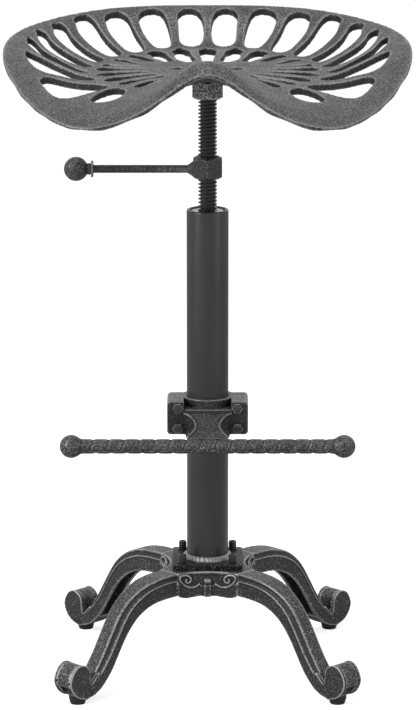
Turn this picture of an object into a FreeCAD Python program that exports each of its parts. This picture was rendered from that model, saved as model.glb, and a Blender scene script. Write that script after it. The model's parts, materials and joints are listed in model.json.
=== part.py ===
import FreeCAD, Part
import math
import os
from FreeCAD import Vector

# Tractor seat stool: a pierced cast seat on a screw spindle, in a tube column
# with a clamped footrest, on a four-legged cast base.
# Millimetres, +Z up. The origin is on the column's axis at floor level, the
# front of the seat faces -Y and the lock lever points to -X.

# Rubber feet and base casting
foot_height = 6.0
foot_top_radius = 9.5
foot_floor_radius = 7.8
foot_pad_top = 14.0
foot_reach = 195.0
foot_screw_radius = 2.5
foot_screw_head_radius = 4.5
foot_screw_head_height = 2.5
foot_screw_recess = 1.2
base_top = 117.0
base_skin = 8.0
leg_width = 26.6
leg_crown_chamfer = 4.0
leg_skin = 5.0
leg_wall = 4.0
leg_end_wall = 5.0
foot_pocket_reach = 10.0
foot_pocket_top = 22.0
foot_screw_rise = 13.6
hub_waist = 40.8
hub_reach = 58.5
hub_depth = 24.4
hub_bore_radius = 33.0
hub_leg_margin = 0.4
leg_bolt_radius = 4.0
leg_bolt_drop = 16.0
leg_bolt_head_height = 5.3
leg_bolt_across_flats = 13.0
leg_bolt_seat_wall = 2.0
leg_bolt_end = 3.0
hub_boss_radius = 4.5
hub_boss_proud = 2.5
hub_boss_drop = 8.0

# Column
plate_size = 76.0
plate_thickness = 6.0
plate_corner_radius = 4.0
plate_bolt_offset = 27.3
plate_screw_radius = 2.5
plate_screw_head_radius = 4.2
plate_screw_head_height = 9.0
plate_screw_depth = 9.0
plate_screw_hole_end = 0.5
plate_screw_rounding = 1.2
plate_washer_radius = 5.2
plate_washer_thickness = 1.0
tube_radius = 22.5
tube_wall = 3.7
tube_length = 384.6
weld_height = 5.0
weld_reach = 4.5
weld_shoulder_share = 0.8
weld_shoulder_height_share = 0.6
bush_length = 40.0
bush_sink = 1.5
bush_chamfer = 2.0

# Screw spindle and lock nut
thread_radius = 10.0
thread_root_radius = 7.75
thread_pitch = 4.0
thread_crest_share = 0.37
thread_flank_share = 0.13
thread_below_tube_top = 136.0
journal_radius = 7.0
journal_length = 12.0
guide_play = 0.3
end_washer_radius = 12.0
end_washer_thickness = 2.0
end_screw_radius = 4.0
end_screw_depth = 24.0
end_screw_head_height = 5.3
end_screw_across_flats = 13.0
screw_hole_end = 1.0
lock_nut_height = 24.0
lock_nut_across_flats = 31.0
lock_nut_above_tube = 33.1
nut_chamfer = 3.0
nut_countersink = 2.5
lever_radius = 4.3
lever_length = 110.9
lever_neck_radius = 9.0
lever_neck_length = 6.0
lever_drop = 1.7
lever_socket_depth = 3.0
lever_tenon_radius = 3.4
knob_radius = 13.0
knob_socket_depth = 5.2
knob_collar_radius = 9.0
knob_collar_width = 4.0

# Footrest
clamp_height = 36.3
clamp_centre_height = 285.9
clamp_half_width = 43.5
clamp_front_depth = 34.0
clamp_rear_depth = 12.0
clamp_gap = 2.0
clamp_housing_radius = 28.5
clamp_recess_depth = 9.1
clamp_recess_half_width = 25.6
clamp_corner_radius = 4.0
clamp_bolt_radius = 3.0
clamp_bolt_across_flats = 10.0
clamp_bolt_head_height = 4.0
clamp_bolt_offset = 32.0
clamp_bolt_rise = 11.2
clamp_nut_height = 5.0
clamp_bolt_end = 2.0
arm_root_inset = 2.0
arm_tip_low = 3.0
bar_radius = 7.9
bar_forward = 75.0
bar_height = 264.9
bar_half_length = 145.0
ball_radius = 12.4

# Seat
seat_nut_across_flats = 32.5
seat_nut_height = 20.7
seat_nut_bottom = 626.5
seat_boss_radius = 14.0
seat_boss_height = 6.0
pan_thickness = 8.0
pan_rim_share = 0.4
pan_taper_start = 0.92
pan_even_until = 75.0
pan_thinned_from = 112.0
pan_steepest = 2.0
pan_hub_height = 660.2
pan_spot_face_radius = 13.5
pan_spot_face_depth = 1.0
pan_bore_depth = 5.0
seat_washer_radius = 12.0
seat_washer_thickness = 1.5
seat_screw_radius = 5.0
seat_screw_head_radius = 9.0
seat_screw_head_height = 4.5
seat_screw_depth = 22.0
seat_screw_rounding = 3.1
seat_screw_socket_across_flats = 6.0
seat_screw_socket_wall = 1.5
pan_width = 434.0

# Clearances
slide_clearance = 0.1
thread_clearance = 0.4
hole_clearance = 0.3
press_clearance = 0.05
cut_past = 1.0
tolerance = 0.01

# Heights and places that follow from the sizes above
plate_top = base_top + plate_thickness
tube_top = plate_top + tube_length
tube_bore_radius = tube_radius - tube_wall
bush_top = tube_top - bush_sink
spindle_shoulder = tube_top - thread_below_tube_top
journal_bottom = spindle_shoulder - journal_length
lock_nut_bottom = tube_top + lock_nut_above_tube
lever_height = lock_nut_bottom + lock_nut_height / 2 - lever_drop
seat_boss_bottom = seat_nut_bottom + seat_nut_height
spindle_top = pan_hub_height - pan_bore_depth
spot_face_height = pan_hub_height - pan_spot_face_depth
clamp_bottom = clamp_centre_height - clamp_height / 2
clamp_top = clamp_centre_height + clamp_height / 2
diagonals = (45.0, 135.0, 225.0, 315.0)
up = Vector(0, 0, 1)


# The clamp's arm in plan: distances in front of the split and half widths.
arm_waist = (
    (31.0, 25.4), (37.0, 20.6), (41.0, 17.0), (47.0, 13.8), (52.5, 12.5), (58.0, 13.0),
    (63.5, 15.6), (69.0, 19.4), (75.0, 23.0),
)

# Leg side profile: shares of the run from hub to foot and of the rise from
# the foot's sole to the base's top.
leg_crown_line = (
    (0.0, 1.0), (0.172, 0.995), (0.325, 0.961), (0.456, 0.89), (0.557, 0.795),
    (0.636, 0.677), (0.713, 0.524), (0.784, 0.383), (0.858, 0.255), (0.918, 0.157),
)
leg_sole_line = (
    (0.98, 0.0), (0.895, 0.025), (0.813, 0.088), (0.731, 0.191), (0.676, 0.279),
    (0.621, 0.392), (0.565, 0.495), (0.51, 0.585), (0.439, 0.659), (0.357, 0.716),
    (0.26, 0.755), (0.117, 0.771), (0.0, 0.771),
)
leg_valley = (0.938, 0.126)
leg_curl_line = (
    (0.955, 0.243), (0.971, 0.302), (1.018, 0.342), (1.07, 0.344), (1.116, 0.308),
    (1.146, 0.248), (1.157, 0.194), (1.149, 0.15),
)

# Seat surface: for each direction, measured from the back towards either side,
# the reach from the hub to the rim and the rise over the hub at these shares
# of the reach. Reaches and rises are for a pan 440 mm wide.
pan_shares = (0.0, 0.25, 0.5, 0.65, 0.78, 0.9, 1.0)
pan_sections = (
    (0, 180, (0, 3, 6, 6.5, 19, 39, 44)),
    (30, 192, (0, 3, 5, 7, 18, 36, 44)),
    (60, 208, (0, 2, 2, 5, 16, 30, 36.5)),
    (90, 219.5, (0, 0, 0, 2, 10, 19, 20)),
    (112, 219.3, (0, -2, -5, -6, -4, -3, -6)),
    (133, 227.6, (0, -3, -8, -12, -17, -23, -28.5)),
    (148, 221.5, (0, -3.5, -8.5, -13, -19, -26.5, -35.6)),
    (160, 187, (0, -3, -2, 0, -2, -9, -18.8)),
    (170, 159, (0, -2, 4, 12, 18, 14, 3.6)),
    (180, 150, (0, -2, 6, 16, 23.5, 22, 13)),
)
pan_model_width = 440.0
pan_grid_half_width = 234.0
pan_grid_front = -212.0
pan_grid_back = 198.0
pan_grid_columns = 29
pan_grid_rows = 27
pan_rim_points = 60
pan_prism_height = 240.0
pan_slab_height = 60.0

# Slot outlines on the right side, in plan, for a pan 440 mm wide: ten along the
# rim, then ten between them and the hub and a short one at the hub.
slot_outlines = (
    (
        (33.3, 153.5), (29.3, 165.2), (20.4, 168.6), (10.8, 164.5), (4.9, 151.8), (5.0, 134.7),
        (10.4, 121.1), (18.5, 117.1), (26.4, 120.9), (31.5, 135.2),
    ),
    (
        (76.1, 145.4), (73.3, 160.0), (65.4, 166.3), (54.7, 165.5), (46.9, 155.5), (41.2, 136.6),
        (40.9, 120.5), (46.6, 107.9), (52.1, 106.2), (60.3, 115.2), (70.5, 132.6),
    ),
    (
        (113.4, 134.9), (110.5, 148.3), (101.2, 154.4), (92.7, 152.0), (83.2, 137.9),
        (73.3, 120.2), (69.5, 104.2), (72.4, 90.4), (78.7, 86.0), (87.5, 91.1), (97.9, 106.8),
        (109.4, 122.9),
    ),
    (
        (146.8, 118.6), (143.7, 133.3), (135.5, 138.7), (127.6, 132.5), (115.8, 115.4),
        (102.0, 97.7), (94.4, 82.2), (97.5, 68.5), (104.0, 64.0), (114.1, 71.1), (130.1, 87.4),
        (142.3, 103.0),
    ),
    (
        (170.5, 93.3), (166.9, 104.8), (161.3, 105.7), (151.9, 92.8), (139.0, 77.4), (122.1, 63.0),
        (113.5, 51.3), (115.2, 35.8), (120.7, 28.8), (126.8, 33.9), (140.4, 48.7), (157.2, 61.4),
        (167.2, 75.6),
    ),
    (
        (186.8, 66.3), (184.2, 75.4), (180.3, 74.0), (171.3, 58.6), (155.6, 45.9), (141.1, 33.6),
        (127.8, 14.8), (123.7, 4.5), (129.7, -0.2), (141.0, 4.9), (159.0, 18.2), (175.4, 30.9),
        (183.4, 47.5),
    ),
    (
        (195.6, 36.8), (193.7, 44.3), (190.2, 41.3), (179.6, 24.4), (163.5, 13.8), (146.8, -1.6),
        (131.2, -14.7), (126.2, -19.7), (131.7, -23.6), (144.8, -18.2), (162.6, -5.1),
        (179.6, 3.0), (190.7, 17.4),
    ),
    (
        (193.0, 0.1), (185.5, -2.1), (169.9, -8.5), (154.7, -17.2), (138.7, -30.3), (123.9, -38.5),
        (119.5, -45.6), (123.3, -51.0), (136.8, -52.5), (155.9, -48.5), (173.0, -47.5),
        (182.7, -40.9), (191.0, -24.2), (195.1, -6.7),
    ),
    (
        (175.8, -67.1), (170.7, -60.7), (152.5, -62.0), (130.3, -66.0), (110.4, -70.8),
        (104.7, -76.8), (110.8, -89.2), (124.8, -100.3), (141.5, -111.9), (153.8, -113.2),
        (164.1, -103.1), (173.5, -83.1),
    ),
    (
        (122.6, -118.6), (117.9, -107.2), (106.5, -91.4), (97.4, -85.3), (89.8, -87.8),
        (86.8, -96.4), (89.4, -111.3), (97.2, -122.4), (109.4, -127.9), (119.4, -125.5),
    ),
    (
        (38.4, 79.6), (36.6, 100.2), (30.8, 110.3), (23.9, 100.6), (19.3, 78.4), (15.8, 55.6),
        (14.1, 35.1), (21.3, 27.7), (30.3, 37.1), (35.4, 58.1),
    ),
    (
        (65.0, 73.4), (63.4, 90.2), (56.6, 95.8), (49.9, 87.0), (44.3, 68.8), (39.8, 49.6),
        (38.0, 32.9), (43.4, 29.0), (51.5, 39.4), (59.9, 57.3),
    ),
    (
        (85.9, 67.6), (82.6, 75.3), (75.5, 71.3), (66.5, 57.5), (58.6, 41.1), (56.5, 31.4),
        (61.5, 32.4), (71.1, 44.7), (81.5, 57.4),
    ),
    (
        (101.5, 46.3), (98.4, 52.6), (92.3, 50.4), (84.2, 37.9), (75.4, 25.3), (72.1, 19.6),
        (76.8, 18.9), (87.0, 26.9), (97.6, 37.2),
    ),
    (
        (113.0, 11.3), (109.7, 19.3), (103.7, 17.2), (89.7, 11.1), (74.2, 7.1), (69.6, 5.6),
        (76.4, 4.1), (92.2, 5.1), (108.2, 6.9),
    ),
    (
        (119.6, -5.4), (114.8, 0.3), (102.1, -0.7), (86.4, -3.5), (70.1, -4.3), (65.8, -5.5),
        (72.4, -8.6), (88.8, -10.5), (104.7, -14.2), (115.5, -13.0),
    ),
    (
        (118.7, -28.3), (112.8, -22.0), (97.9, -19.7), (81.0, -17.2), (65.5, -16.5), (60.8, -18.1),
        (68.8, -21.6), (84.9, -25.5), (100.1, -31.9), (113.2, -33.1),
    ),
    (
        (109.7, -49.3), (103.3, -40.0), (88.0, -35.8), (71.0, -30.6), (53.0, -27.6), (49.9, -29.8),
        (60.8, -36.3), (77.1, -42.6), (92.9, -53.7), (105.0, -57.8),
    ),
    (
        (94.3, -67.0), (87.9, -58.9), (72.7, -51.1), (56.6, -42.7), (45.4, -39.6), (46.0, -43.7),
        (57.9, -50.0), (68.9, -57.4), (81.2, -67.8), (90.6, -73.0),
    ),
    (
        (77.5, -82.2), (74.9, -73.9), (66.5, -64.6), (56.9, -57.6), (52.8, -57.0), (54.3, -61.6),
        (61.7, -72.1), (68.3, -82.7), (74.1, -85.5),
    ),
    (
        (43.1, -4.6), (36.5, -1.2), (28.4, -1.0), (23.8, -4.6), (27.4, -8.3), (36.5, -8.7),
    ),
)
centre_slot_outline = (
    (0.0, 110.5), (7.4, 103.4), (9.6, 86.2), (8.4, 64.9), (6.1, 43.6), (4.1, 31.4), (0.0, 27.4),
    (-4.1, 31.4), (-6.1, 43.6), (-8.4, 64.9), (-9.6, 86.2), (-7.4, 103.4),
)


def box(x0, x1, y0, y1, z0, z1):
    return Part.makeBox(x1 - x0, y1 - y0, z1 - z0, Vector(x0, y0, z0))


def cylinder(radius, z0, z1, x=0.0, y=0.0):
    return Part.makeCylinder(radius, z1 - z0, Vector(x, y, z0))


def rod(radius, start, end):
    return Part.makeCylinder(radius, (end - start).Length, start, end - start)


def ring(outer, inner, z0, z1, x=0.0, y=0.0):
    return cylinder(outer, z0, z1, x, y).cut(cylinder(inner, z0, z1, x, y))


def prism(points, height):
    """A prism on a flat polygon, drawn out along height."""
    wire = Part.makePolygon(list(points) + [points[0]])
    return Part.Face(wire).extrude(height)


def hexagon(across_flats, start, end, turn=0.0):
    """A hexagonal prism from start to end, its first corner turned by turn degrees."""
    height = end - start
    corner = across_flats / math.sqrt(3)
    points = []
    for k in range(6):
        angle = math.radians(turn + 60 * k)
        points.append(Vector(corner * math.cos(angle), corner * math.sin(angle), 0))
    body = prism(points, up * height.Length)
    body.Placement = FreeCAD.Placement(start, FreeCAD.Rotation(up, height))
    return body


def chamfered_nut(across_flats, z0, z1, bore, turn):
    """A hexagon nut about Z with both ends turned off at thirty degrees and a countersunk bore."""
    corner = across_flats / math.sqrt(3)
    fall = (corner - across_flats / 2 + nut_chamfer) * math.tan(math.radians(30))
    edge = across_flats / 2 - nut_chamfer
    rim = corner + cut_past
    slope = fall * (rim - edge) / (corner - edge)
    envelope = revolved((
        (0, z0), (edge, z0), (rim, z0 + slope), (rim, z1 - slope), (edge, z1), (0, z1),
    ))
    body = hexagon(across_flats, Vector(0, 0, z0), Vector(0, 0, z1), turn).common(envelope)
    opening = bore + nut_countersink
    hole = revolved((
        (0, z0 - cut_past), (bore, z0 - cut_past), (bore, z1 - nut_countersink), (opening, z1),
        (opening, z1 + cut_past), (0, z1 + cut_past),
    ))
    return body.cut(hole)


def revolved(profile):
    """A solid of revolution about Z from (radius, height) points."""
    points = [Vector(r, 0, z) for r, z in profile]
    wire = Part.makePolygon(points + [points[0]])
    return Part.Face(wire).revolve(Vector(0, 0, 0), up, 360)


def turned(shape, degrees):
    copy = shape.copy()
    copy.rotate(Vector(0, 0, 0), up, degrees)
    return copy


def top_rim(shape, top):
    """The edges of a shape that lie wholly at its top."""
    return [edge for edge in shape.Edges if edge.BoundBox.ZMin > top - tolerance]


def ball(radius, centre, pole=up):
    return Part.makeSphere(radius, centre, pole)


def smooth_curve(stations, values, level_ends):
    """The cubic spline through values at stations; level_ends gives it no slope at both ends."""
    count = len(stations)
    steps = [stations[i + 1] - stations[i] for i in range(count - 1)]
    rises = [(values[i + 1] - values[i]) / steps[i] for i in range(count - 1)]
    lower = [0.0] * count
    middle = [1.0] * count
    upper = [0.0] * count
    right = [0.0] * count
    for i in range(1, count - 1):
        lower[i] = steps[i - 1]
        middle[i] = 2 * (steps[i - 1] + steps[i])
        upper[i] = steps[i]
        right[i] = 6 * (rises[i] - rises[i - 1])
    if level_ends:
        middle[0] = 2 * steps[0]
        upper[0] = steps[0]
        right[0] = 6 * rises[0]
        lower[-1] = steps[-1]
        middle[-1] = 2 * steps[-1]
        right[-1] = -6 * rises[-1]
    for i in range(1, count):
        factor = lower[i] / middle[i - 1]
        middle[i] -= factor * upper[i - 1]
        right[i] -= factor * right[i - 1]
    bends = [0.0] * count
    bends[-1] = right[-1] / middle[-1]
    for i in range(count - 2, -1, -1):
        bends[i] = (right[i] - upper[i] * bends[i + 1]) / middle[i]

    def value(at):
        if at > stations[-1]:
            end_slope = rises[-1] + steps[-1] * (2 * bends[-1] + bends[-2]) / 6
            return values[-1] + end_slope * (at - stations[-1])
        i = 0
        while i < count - 2 and at > stations[i + 1]:
            i += 1
        after = at - stations[i]
        before = stations[i + 1] - at
        span = steps[i]
        curve = (bends[i] * before ** 3 + bends[i + 1] * after ** 3) / (6 * span)
        curve += (values[i] / span - bends[i] * span / 6) * before
        curve += (values[i + 1] / span - bends[i + 1] * span / 6) * after
        return curve

    return value


pan_scale = pan_width / pan_model_width
pan_directions = [section[0] for section in pan_sections]
pan_reach = smooth_curve(pan_directions, [section[1] * pan_scale for section in pan_sections], True)
pan_rises = [
    smooth_curve(pan_directions, [section[2][k] * pan_scale for section in pan_sections], True)
    for k in range(len(pan_shares))
]


def pan_height(x, y):
    """The height of the seat's upper surface over a point of the plan."""
    radius = math.hypot(x, y)
    direction = math.degrees(math.atan2(abs(x), y)) if radius > 0 else 0.0
    rise = smooth_curve(pan_shares, [curve(direction) for curve in pan_rises], False)
    return pan_hub_height + rise(radius / pan_reach(direction))


def pan_point(side, direction, share):
    """A plan point at a share of the reach, on the side +1 (right) or -1 (left)."""
    radius = pan_reach(direction) * share
    angle = math.radians(direction)
    return Vector(side * radius * math.sin(angle), radius * math.cos(angle), 0)


def pan_wall(x, y):
    """The upright thickness of the seat over a point of the plan; the front half's rim is thinner."""
    half = cut_past / 2
    slope_x = (pan_height(x + half, y) - pan_height(x - half, y)) / cut_past
    slope_y = (pan_height(x, y + half) - pan_height(x, y - half)) / cut_past
    lean = min(math.sqrt(1 + slope_x ** 2 + slope_y ** 2), pan_steepest)
    direction = math.degrees(math.atan2(abs(x), y))
    share = math.hypot(x, y) / pan_reach(direction)
    along = min(max((share - pan_taper_start) / (1 - pan_taper_start), 0.0), 1.0)
    eased = along * along * (3 - 2 * along)
    turned = min(max((direction - pan_even_until) / (pan_thinned_from - pan_even_until), 0.0), 1.0)
    thinned = (1 - pan_rim_share) * turned * turned * (3 - 2 * turned)
    return pan_thickness * lean * (1 - thinned * eased)


def closed_outline(points):
    """A smooth closed wire through plan points."""
    curve = Part.BSplineCurve()
    curve.interpolate(points, PeriodicFlag=True)
    return Part.Wire(curve.toShape())


def through_pan(outline):
    """A flat outline in plan drawn out to a prism that passes right through the pan."""
    face = Part.Face(outline)
    face.translate(Vector(0, 0, pan_hub_height - pan_prism_height / 2))
    return face.extrude(Vector(0, 0, pan_prism_height))


def slot_cutter(outline, side):
    return through_pan(closed_outline([Vector(side * x * pan_scale, y * pan_scale, 0) for x, y in outline]))


def pan_slab(drop_of, draw):
    """The space above or below a smooth sheet that lies a given drop under the seat's upper surface."""
    grid = []
    for i in range(pan_grid_columns):
        x = pan_grid_half_width * pan_scale * (2 * i / (pan_grid_columns - 1) - 1)
        line = []
        for j in range(pan_grid_rows):
            along = j / (pan_grid_rows - 1)
            y = pan_scale * (pan_grid_front + (pan_grid_back - pan_grid_front) * along)
            line.append(Vector(x, y, pan_height(x, y) - drop_of(x, y)))
        grid.append(line)
    surface = Part.BSplineSurface()
    surface.interpolate(grid)
    return surface.toShape().extrude(Vector(0, 0, draw))


def seat_pan():
    """The pierced cast seat: the space between two smooth sheets, trimmed to the rim and slotted."""
    below_top = pan_slab(lambda x, y: 0.0, -pan_slab_height)
    above_bottom = pan_slab(pan_wall, pan_slab_height)
    rim_points = []
    for k in range(pan_rim_points):
        turn = 360 * k / pan_rim_points
        side = 1 if turn <= 180 else -1
        direction = turn if turn <= 180 else 360 - turn
        rim_points.append(pan_point(side, direction, 1.0))
    pan = below_top.common(through_pan(closed_outline(rim_points))).common(above_bottom)

    cutters = [slot_cutter(centre_slot_outline, 1)]
    for outline in slot_outlines:
        for side in (1, -1):
            cutters.append(slot_cutter(outline, side))
    pan = pan.cut(cutters)

    boss_top = pan_hub_height - pan_thickness / 2
    pan = pan.fuse(cylinder(seat_boss_radius, seat_boss_bottom, boss_top))
    above = pan_hub_height + pan_thickness
    pan = pan.cut(cylinder(thread_radius + hole_clearance, seat_boss_bottom - cut_past, spindle_top))
    pan = pan.cut(cylinder(seat_screw_radius + hole_clearance, spindle_top, above))
    return pan.cut(cylinder(pan_spot_face_radius, spot_face_height, above))


def leg_point(share):
    run = foot_reach - hub_reach
    rise = base_top - foot_height
    return Vector(hub_reach + run * share[0], 0, foot_height + rise * share[1])


def spline_edge(points):
    curve = Part.BSplineCurve()
    curve.interpolate(points)
    return curve.toShape()


def leg():
    """One cast leg on the +X axis, turned to its diagonal later."""
    crown = [leg_point(p) for p in leg_crown_line]
    sole = [leg_point(p) for p in leg_sole_line]
    valley = leg_point(leg_valley)
    curl = [leg_point(p) for p in leg_curl_line]
    edges = [
        spline_edge(crown),
        Part.makeLine(crown[-1], valley),
        Part.makeLine(valley, curl[0]),
        spline_edge(curl),
        Part.makeLine(curl[-1], sole[0]),
        spline_edge(sole),
        Part.makeLine(sole[-1], crown[0]),
    ]
    side = Part.Face(Part.Wire(edges))
    side.translate(Vector(0, -leg_width / 2, 0))
    body = side.extrude(Vector(0, leg_width, 0))
    crown_edges = []
    for edge in body.Edges:
        tops = [v.Point.z for v in edge.Vertexes]
        reaches = [v.Point.x for v in edge.Vertexes]
        along = abs(edge.Vertexes[0].Point.y - edge.Vertexes[-1].Point.y) < tolerance
        from_top = abs(max(tops) - crown[0].z) < tolerance
        if along and from_top and abs(max(reaches) - crown[-1].x) < tolerance:
            crown_edges.append(edge)
    body = body.makeChamfer(leg_crown_chamfer, crown_edges)

    shift = Vector(-leg_wall, 0, -leg_skin)
    ceiling = [p + shift for p in crown[:-1]]
    floor_end = Vector(ceiling[-1].x, 0, -foot_height)
    floor_start = Vector(ceiling[0].x, 0, -foot_height)
    hollow_side = Part.Face(Part.Wire([
        spline_edge(ceiling),
        Part.makeLine(ceiling[-1], floor_end),
        Part.makeLine(floor_end, floor_start),
        Part.makeLine(floor_start, ceiling[0]),
    ]))
    inner_half = leg_width / 2 - leg_wall
    hollow_side.translate(Vector(0, -inner_half, 0))
    hollow = hollow_side.extrude(Vector(0, 2 * inner_half, 0))
    keep = box(hub_reach + leg_end_wall, foot_reach, -leg_width, leg_width, -foot_height, base_top)
    body = body.cut(hollow.common(keep))

    pocket_start = foot_reach + foot_pocket_reach
    body = body.cut(box(
        pocket_start, pocket_start + leg_width, -inner_half, inner_half, foot_height, foot_pocket_top,
    ))
    bolt_height = base_top - leg_bolt_drop
    body = body.cut(rod(
        leg_bolt_radius + hole_clearance,
        Vector(hub_reach - cut_past, 0, bolt_height),
        Vector(hub_reach + leg_end_wall + cut_past, 0, bolt_height),
    ))
    screw_top = foot_screw_top() + hole_clearance
    body = body.cut(cylinder(foot_screw_radius + hole_clearance, 0, screw_top, foot_reach))
    return body


def foot_screw_top():
    return foot_height + foot_screw_rise


def hub():
    """The cast centre of the base, waisted between the legs, hollow underneath."""
    half = leg_width / 2 + hub_leg_margin
    edges = []
    for k in range(4):
        turn = 90 * k
        left = Vector((half - hub_reach) / math.sqrt(2), -(half + hub_reach) / math.sqrt(2), 0)
        right = Vector(-left.x, left.y, 0)
        waist = Vector(0, -hub_waist, 0)
        next_left = Vector(-left.y, left.x, 0)
        panel = Part.Arc(left, waist, right).toShape()
        corner = Part.makeLine(right, next_left)
        for edge in (panel, corner):
            edge.rotate(Vector(0, 0, 0), up, turn)
            edges.append(edge)
    plan = Part.Face(Part.Wire(edges))
    plan.translate(Vector(0, 0, base_top - hub_depth))
    body = plan.extrude(Vector(0, 0, hub_depth))
    boss_y = hub_boss_radius - hub_waist - hub_boss_proud
    boss_top = base_top - hub_boss_drop
    boss = cylinder(hub_boss_radius, base_top - hub_depth, boss_top, 0, boss_y)
    boss = boss.fuse(ball(hub_boss_radius, Vector(0, boss_y, boss_top)))
    for k in range(4):
        body = body.fuse(turned(boss, 90 * k))
    body = body.cut(cylinder(hub_bore_radius, base_top - hub_depth, base_top - base_skin))
    inside = Vector(hub_bore_radius - leg_bolt_across_flats, 0, base_top - leg_bolt_drop)
    seat_end = Vector(leg_bolt_seat(), 0, inside.z)
    outside = Vector(hub_reach + cut_past, 0, inside.z)
    bolt = rod(leg_bolt_radius + hole_clearance, inside, outside)
    seat = rod(leg_bolt_across_flats / math.sqrt(3) + hole_clearance, inside, seat_end)
    for angle in diagonals:
        body = body.cut(turned(bolt, angle)).cut(turned(seat, angle))
    hole_end = screw_tip() - plate_screw_hole_end
    for x, y in plate_screw_places():
        body = body.cut(cylinder(plate_screw_radius + press_clearance, hole_end, base_top, x, y))
    return body


def leg_bolt_seat():
    return hub_bore_radius + leg_bolt_seat_wall


def screw_tip():
    return base_top - plate_screw_depth


def plate_screw_places():
    offset = plate_bolt_offset
    return [(offset, offset), (-offset, offset), (-offset, -offset), (offset, -offset)]


def leg_bolt():
    seat = Vector(leg_bolt_seat(), 0, base_top - leg_bolt_drop)
    head = hexagon(leg_bolt_across_flats, seat - Vector(leg_bolt_head_height, 0, 0), seat)
    end = hub_reach + leg_end_wall + leg_bolt_head_height + leg_bolt_end
    shank = rod(leg_bolt_radius, seat, Vector(end, 0, seat.z))
    return head.fuse(shank)


def leg_nut():
    start = Vector(hub_reach + leg_end_wall, 0, base_top - leg_bolt_drop)
    end = start + Vector(leg_bolt_head_height, 0, 0)
    return hexagon(leg_bolt_across_flats, start, end).cut(rod(leg_bolt_radius + press_clearance, start, end))


def rubber_foot(casting):
    """The pad under a foot, its top shaped to the casting that stands on it."""
    head_top = foot_screw_recess + foot_screw_head_height
    pad = revolved((
        (0, 0), (foot_floor_radius, 0), (foot_top_radius, foot_height),
        (foot_top_radius, foot_pad_top), (0, foot_pad_top),
    )).translated(Vector(foot_reach, 0, 0))
    pad = pad.cut(casting)
    pad = pad.cut(cylinder(foot_screw_head_radius + press_clearance, 0, head_top, foot_reach))
    return pad.cut(cylinder(foot_screw_radius + press_clearance, 0, foot_pad_top, foot_reach))


def foot_screw():
    head_top = foot_screw_recess + foot_screw_head_height
    head = cylinder(foot_screw_head_radius, foot_screw_recess, head_top)
    return head.fuse(cylinder(foot_screw_radius, head_top, foot_screw_top()))


def column_plate():
    half = plate_size / 2
    plate = box(-half, half, -half, half, base_top, plate_top)
    uprights = [e for e in plate.Edges if e.BoundBox.ZLength > plate_thickness / 2]
    plate = plate.makeFillet(plate_corner_radius, uprights)
    for x, y in plate_screw_places():
        plate = plate.cut(cylinder(plate_screw_radius + hole_clearance, base_top, plate_top, x, y))
    return plate


def plate_screw(x, y):
    head_bottom = plate_top + plate_washer_thickness
    head_top = head_bottom + plate_screw_head_height
    head = cylinder(plate_screw_head_radius, head_bottom, head_top, x, y)
    head = head.makeFillet(plate_screw_rounding, top_rim(head, head_top))
    return head.fuse(cylinder(plate_screw_radius, screw_tip(), head_bottom, x, y))


def plate_washer(x, y):
    top = plate_top + plate_washer_thickness
    return ring(plate_washer_radius, plate_screw_radius + hole_clearance, plate_top, top, x, y)


def weld_bead():
    return revolved((
        (tube_radius, plate_top), (tube_radius + weld_reach, plate_top),
        (tube_radius + weld_reach * weld_shoulder_share, plate_top + weld_height * weld_shoulder_height_share),
        (tube_radius, plate_top + weld_height),
    ))


def spindle_bush():
    outer = tube_bore_radius - press_clearance
    bore = thread_radius + thread_clearance
    return revolved((
        (bore, bush_top - bush_length), (outer, bush_top - bush_length),
        (outer, bush_top - bush_chamfer), (outer - bush_chamfer, bush_top), (bore, bush_top),
    ))


def spindle():
    """The screw spindle; its thread is cut as rings of the thread's own section."""
    crest = thread_pitch * thread_crest_share
    flank = thread_pitch * thread_flank_share
    turns = int((spindle_top - spindle_shoulder) / thread_pitch)
    profile = [(0, journal_bottom), (journal_radius, journal_bottom), (journal_radius, spindle_shoulder)]
    for k in range(turns):
        z = spindle_shoulder + k * thread_pitch
        profile.append((thread_root_radius, z))
        profile.append((thread_radius, z + flank))
        profile.append((thread_radius, z + flank + crest))
        profile.append((thread_root_radius, z + 2 * flank + crest))
    profile.append((thread_root_radius, spindle_top))
    profile.append((0, spindle_top))
    body = revolved(profile)
    seat_hole = seat_screw_radius + press_clearance
    end_hole = end_screw_radius + press_clearance
    body = body.cut(cylinder(seat_hole, spindle_top - seat_screw_depth - screw_hole_end, spindle_top))
    return body.cut(cylinder(end_hole, journal_bottom, journal_bottom + end_screw_depth + screw_hole_end))


def spindle_guide():
    outer = tube_bore_radius - guide_play
    bore = journal_radius + guide_play
    return ring(outer, bore, journal_bottom + guide_play, spindle_shoulder - guide_play)


def spindle_end_washer():
    bottom = journal_bottom - end_washer_thickness
    return ring(end_washer_radius, end_screw_radius + hole_clearance, bottom, journal_bottom)


def spindle_end_screw():
    seat = journal_bottom - end_washer_thickness
    head = hexagon(end_screw_across_flats, Vector(0, 0, seat - end_screw_head_height), Vector(0, 0, seat))
    return head.fuse(cylinder(end_screw_radius, seat, journal_bottom + end_screw_depth))


def lock_nut():
    nut = chamfered_nut(
        lock_nut_across_flats, lock_nut_bottom, lock_nut_bottom + lock_nut_height,
        thread_radius + thread_clearance, 30,
    )
    flat = lock_nut_across_flats / 2
    neck = Part.makeCone(
        lever_neck_radius, lever_radius, lever_neck_length + cut_past,
        Vector(cut_past - flat, 0, lever_height), Vector(-1, 0, 0),
    )
    nut = nut.fuse(neck)
    socket_end = lever_start() + lever_socket_depth
    hole = rod(
        lever_tenon_radius + press_clearance,
        Vector(lever_start() - cut_past, 0, lever_height), Vector(socket_end, 0, lever_height),
    )
    return nut.cut(hole)


def lever_start():
    """Where the lever's shoulder meets the nut's neck."""
    return -lock_nut_across_flats / 2 - lever_neck_length


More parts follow.
